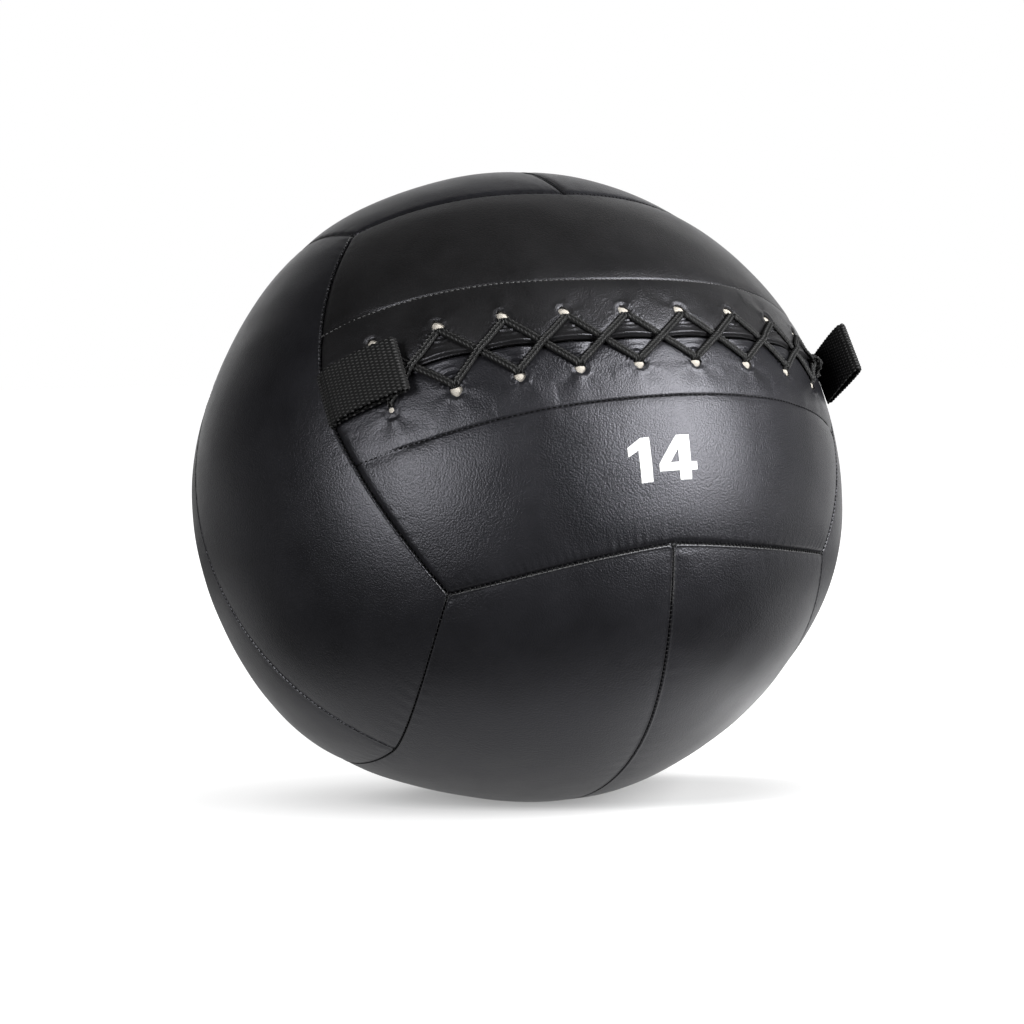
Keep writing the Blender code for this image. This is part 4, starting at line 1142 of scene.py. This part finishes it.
def band(line, run, thickness):
    """Both faces of a woven band over a middle line in its frame's X and Z, with its run and its weave.

    The weave's height is cos(pi run / weft) cos(2 pi y / warp): dots in columns, every other one
    shifted by half a dot. It is eased out at the two selvedges.
    """
    slope = unit(np.gradient(line, axis=0))
    normal = np.stack((-slope[:, 1], slope[:, 0]), axis=1)
    side = np.linspace(-1, 1, WEB_STEPS)
    edge = np.clip(1 - np.abs(side) ** 30, 0, 1) ** 0.5
    length, y = np.meshgrid(run, side, indexing="ij")
    weave = np.cos(np.pi * length / WEFT_PITCH) * np.cos(np.pi * y * WEB_WIDTH / WARP_PITCH)
    column = np.abs(np.cos(np.pi * length / WEFT_PITCH)) ** 0.6
    half = (thickness / 2 + WEAVE_RELIEF * (0.45 * column + 0.55 * np.maximum(weave, 0) - 0.5)) * edge
    sway = SELVEDGE_SWAY * np.cos(2 * np.pi * length / WEFT_PITCH) * np.sign(y) * np.abs(y) ** 8
    faces = []
    for face in (1, -1):
        flat = line[:, None, :] + normal[:, None, :] * (face * half)[..., None]
        points = np.stack((flat[..., 0], y * WEB_WIDTH / 2 + sway, flat[..., 1]), axis=-1)
        faces.append(points.reshape(-1, 3))
    uv = np.stack((length, y * WEB_WIDTH / 2), axis=-1).reshape(-1, 2)
    return *faces, (len(run), WEB_STEPS), uv, np.tile(np.maximum(weave, 0).ravel(), 2)


def webbing(name, line, run, thickness, shift, skew, axes, origin):
    """A closed band in a loop's frame, moved along its seam by shift and by skew for each metre of X."""
    outer, inner, shape, uv, weave = band(line, run, thickness)
    for side in (outer, inner):
        side[:, 1] += shift + skew * side[:, 0]
    made = slab(name, outer @ axes.T + origin, inner @ axes.T + origin, shape, True, WEB_YARN, uv,
                sharp=60)
    # Where the weave stands up, the yarn's colour is painted pale: a painted sheen
    store(made, "rise", weave)
    return made


WEB_YARN = yarn("web_yarn", 0.0018, 0.055, 0.00055)
for word, hand in (("left", -1), ("right", 1)):
    axes, origin = surface_frame(hand * SLIT_REACH, ROOT_LIFT)
    if hand < 0:
        arc, height = np.array(LEFT_BAND).T
        turn, reach = arc / BALL_RADIUS, BALL_RADIUS + height
        sunk = BALL_RADIUS + np.where(height < 0, 0.0, ROOT_LIFT)
        middle = np.stack((reach * np.sin(turn), 0 * arc, reach * np.cos(turn) - sunk), axis=-1)
        bend = RIGHT
        shift, skew, tail_place = LEFT_SHIFT, LEFT_SKEW, LEFT_TAIL
    else:
        reach, out = np.array(RIGHT_BAND).T
        bend = np.array((np.cos(RIGHT_SLANT), 0.0, np.sin(RIGHT_SLANT)))
        beside = np.array((np.sin(RIGHT_SLANT), 0.0, -np.cos(RIGHT_SLANT)))
        middle = reach[:, None] * bend + out[:, None] * beside - (0.0, 0.0, RIGHT_SINK)
        middle[reach < 0] = [(place, 0.0, -RIGHT_END_SINK) for place in out[reach < 0]]
        shift, skew, tail_place = RIGHT_SHIFT, 0.0, 0.0
    path, run = smooth_path(middle, LOOP_STEP)
    loop = webbing(word + "_web_loop", path[:, (0, 2)], run, WEB, shift, skew, axes, origin)
    start = origin + axes @ (bend * BEND_START)
    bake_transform(loop)
    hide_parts(word + "_loop")

    run = np.arange(0, TAIL_DEPTH + LOOP_STEP / 2, LOOP_STEP)
    line = np.stack((0 * run + tail_place, TAIL_TOP - TAIL_DEPTH + run), axis=1)
    tail = webbing(word + "_web_tail", line, run, TAIL_THICKNESS, shift, 0.0, axes, origin)
    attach(tail, "shell")
    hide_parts(word + "_loop_tail")

# ---- Floor, backdrop and light ----
# A white studio sweep. What the camera sees of it glows, lifted to white outside a painted oval shadow
# under the ball that lies over the ball's real soft shadow. What the cover mirrors of it is dark paint
# that glows bright under and behind the ball, more to the right: a painted reflection from a floor that
# is no lamp.
FLOOR_SIZE = 9.0
# Middle, stretch and turn of the painted oval shadow on the floor
PAINTED_SHADOW_MIDDLE = (0.056, -0.0246)
PAINTED_SHADOW_SHAPE = (2.06, 0.455)
PAINTED_SHADOW_TURN = np.radians(4.5)
square = np.array(((-1, -1, 0), (1, -1, 0), (1, 1, 0), (-1, 1, 0)))
floor = mesh_of("floor", square * FLOOR_SIZE / 2, [(0, 1, 2, 3)])
floor_look, sockets = finish_of("white_floor", (0.45, 0.45, 0.45), 0.9, 0.0)
for_camera = node(floor_look, "LightPath").outputs["Is Camera Ray"]
spot = node(floor_look, "TexCoord").outputs["Object"]
away_ahead = unit(np.array((ahead[0], ahead[1], 0.0)))
middle = PAINTED_SHADOW_MIDDLE[0] * sideways + PAINTED_SHADOW_MIDDLE[1] * away_ahead
oval = node(floor_look, "Mapping", vector_type="TEXTURE", Vector=spot, Location=tuple(middle),
            Rotation=(0.0, 0.0, float(VIEW_TURN + PAINTED_SHADOW_TURN)), Scale=(*PAINTED_SHADOW_SHAPE, 1.0)).outputs[0]
away, near = (node(floor_look, "VectorMath", operation="LENGTH", _0=place).outputs["Value"]
              for place in (oval, spot))
# A painted reflection: to everything but the camera the floor glows, bright under the ball, behind it
# and more to the right, though it is no lamp
beyond, rightwards = (
    calc(floor_look, "ADD", 0.5, node(floor_look, "VectorMath", operation="DOT_PRODUCT", _0=spot,
                                      _1=tuple(axis)).outputs["Value"])
    for axis in (away_ahead, sideways))
# A painted shadow: the floor's glow, as the camera sees it, is dimmed in an oval under the ball and
# rises to white outside it
lift = ramp(floor_look, away, (0.040, 0.26), (0.055, 0.33), (0.073, 0.56), (0.100, 0.77), (0.150, 1.0))
under = ramp(floor_look, near, (0.05, 0.28), (0.12, 0.50), (0.165, 0.60), (0.20, 0.30), (0.24, 0.0))
aside = ramp(floor_look, near, (0.16, 0.0), (0.22, 0.50), (0.28, 0.46), (0.36, 0.45), (0.42, 0.38),
             (0.52, 0.20), (0.78, 0.06), (1.0, 0.42))
behind = calc(floor_look, "MULTIPLY", aside, ramp(floor_look, beyond, (0.42, 0.0), (0.56, 1.0)))
stronger = ramp(floor_look, rightwards, (0.36, 0.36), (0.46, 0.44), (0.55, 0.50), (0.62, 0.70),
                (0.68, 1.08), (0.78, 0.86))
glow = calc(floor_look, "MULTIPLY", sum_of(floor_look, (under, 2.5), (behind, 2.5)), stronger)
painted_shadow_and_glow = node(floor_look, "MixRGB", Fac=for_camera, Color1=glow, Color2=lift)
# Pale paint for the camera, nearly black for everything else, so the cover mirrors mostly the painted
# glow
paint = node(floor_look, "MixRGB", Fac=for_camera, Color1=(0.04, 0.04, 0.04, 1.0),
             Color2=(0.45, 0.45, 0.45, 1.0))
wire(floor_look, sockets, Base_Color=paint.outputs[0], Emission_Color=painted_shadow_and_glow.outputs[0])
sockets["Emission Strength"].default_value = 1.0
floor.data.materials.append(floor_look)

# The studio's walls: bright behind the ball, dark around the camera
world = bpy.data.worlds.new("studio")
bpy.context.scene.world = world
world.use_nodes = True
behind = node(world, "VectorMath", operation="DOT_PRODUCT",
              _0=node(world, "TexCoord").outputs["Generated"],
              _1=tuple(away_ahead + 0.12 * sideways - (0.0, 0.0, 0.22))).outputs["Value"]
wall = ramp(world, calc(world, "MULTIPLY_ADD", behind, 0.5, 0.5), (0.0, 0.010), (0.50, 0.016),
            (0.78, 0.10), (0.94, 0.95), (1.0, 1.1))
for_camera = node(world, "LightPath").outputs["Is Camera Ray"]
level = node(world, "MixRGB", Fac=for_camera, Color1=wall, Color2=(1.0, 1.0, 1.0, 1.0))
wire(world, world.node_tree.nodes["Background"].inputs, Color=level.outputs[0])


def softbox(name, direction, distance, size, power):
    """A square studio lamp that faces the ball from a direction in the camera's own axes."""
    lamp = bpy.data.lights.new(name, "AREA")
    lamp.shape = "RECTANGLE"
    lamp.size, lamp.size_y = size
    lamp.energy = power
    towards = unit(direction[0] * sideways + direction[1] * upwards - direction[2] * ahead)
    across = unit(np.cross((0.0, 0.0, 1.0), towards))
    made = new_object(name, lamp)
    made.matrix_world = place_in((across, np.cross(towards, across), towards),
                                 VIEW_MIDDLE + towards * distance)
    made.visible_camera = False
    return made


softbox("key", direction=(0.77, 0.345, 0.55), distance=1.3, size=(0.58, 1.05), power=37)
softbox("side", direction=(-0.56, 0.10, 0.82), distance=1.5, size=(0.50, 0.72), power=15.5)
overhead = softbox("overhead", direction=(0.25, 1.0, -0.15), distance=1.6, size=(1.1, 1.1), power=14)
overhead.visible_glossy = False

bpy.context.scene.view_settings.view_transform = "Standard"
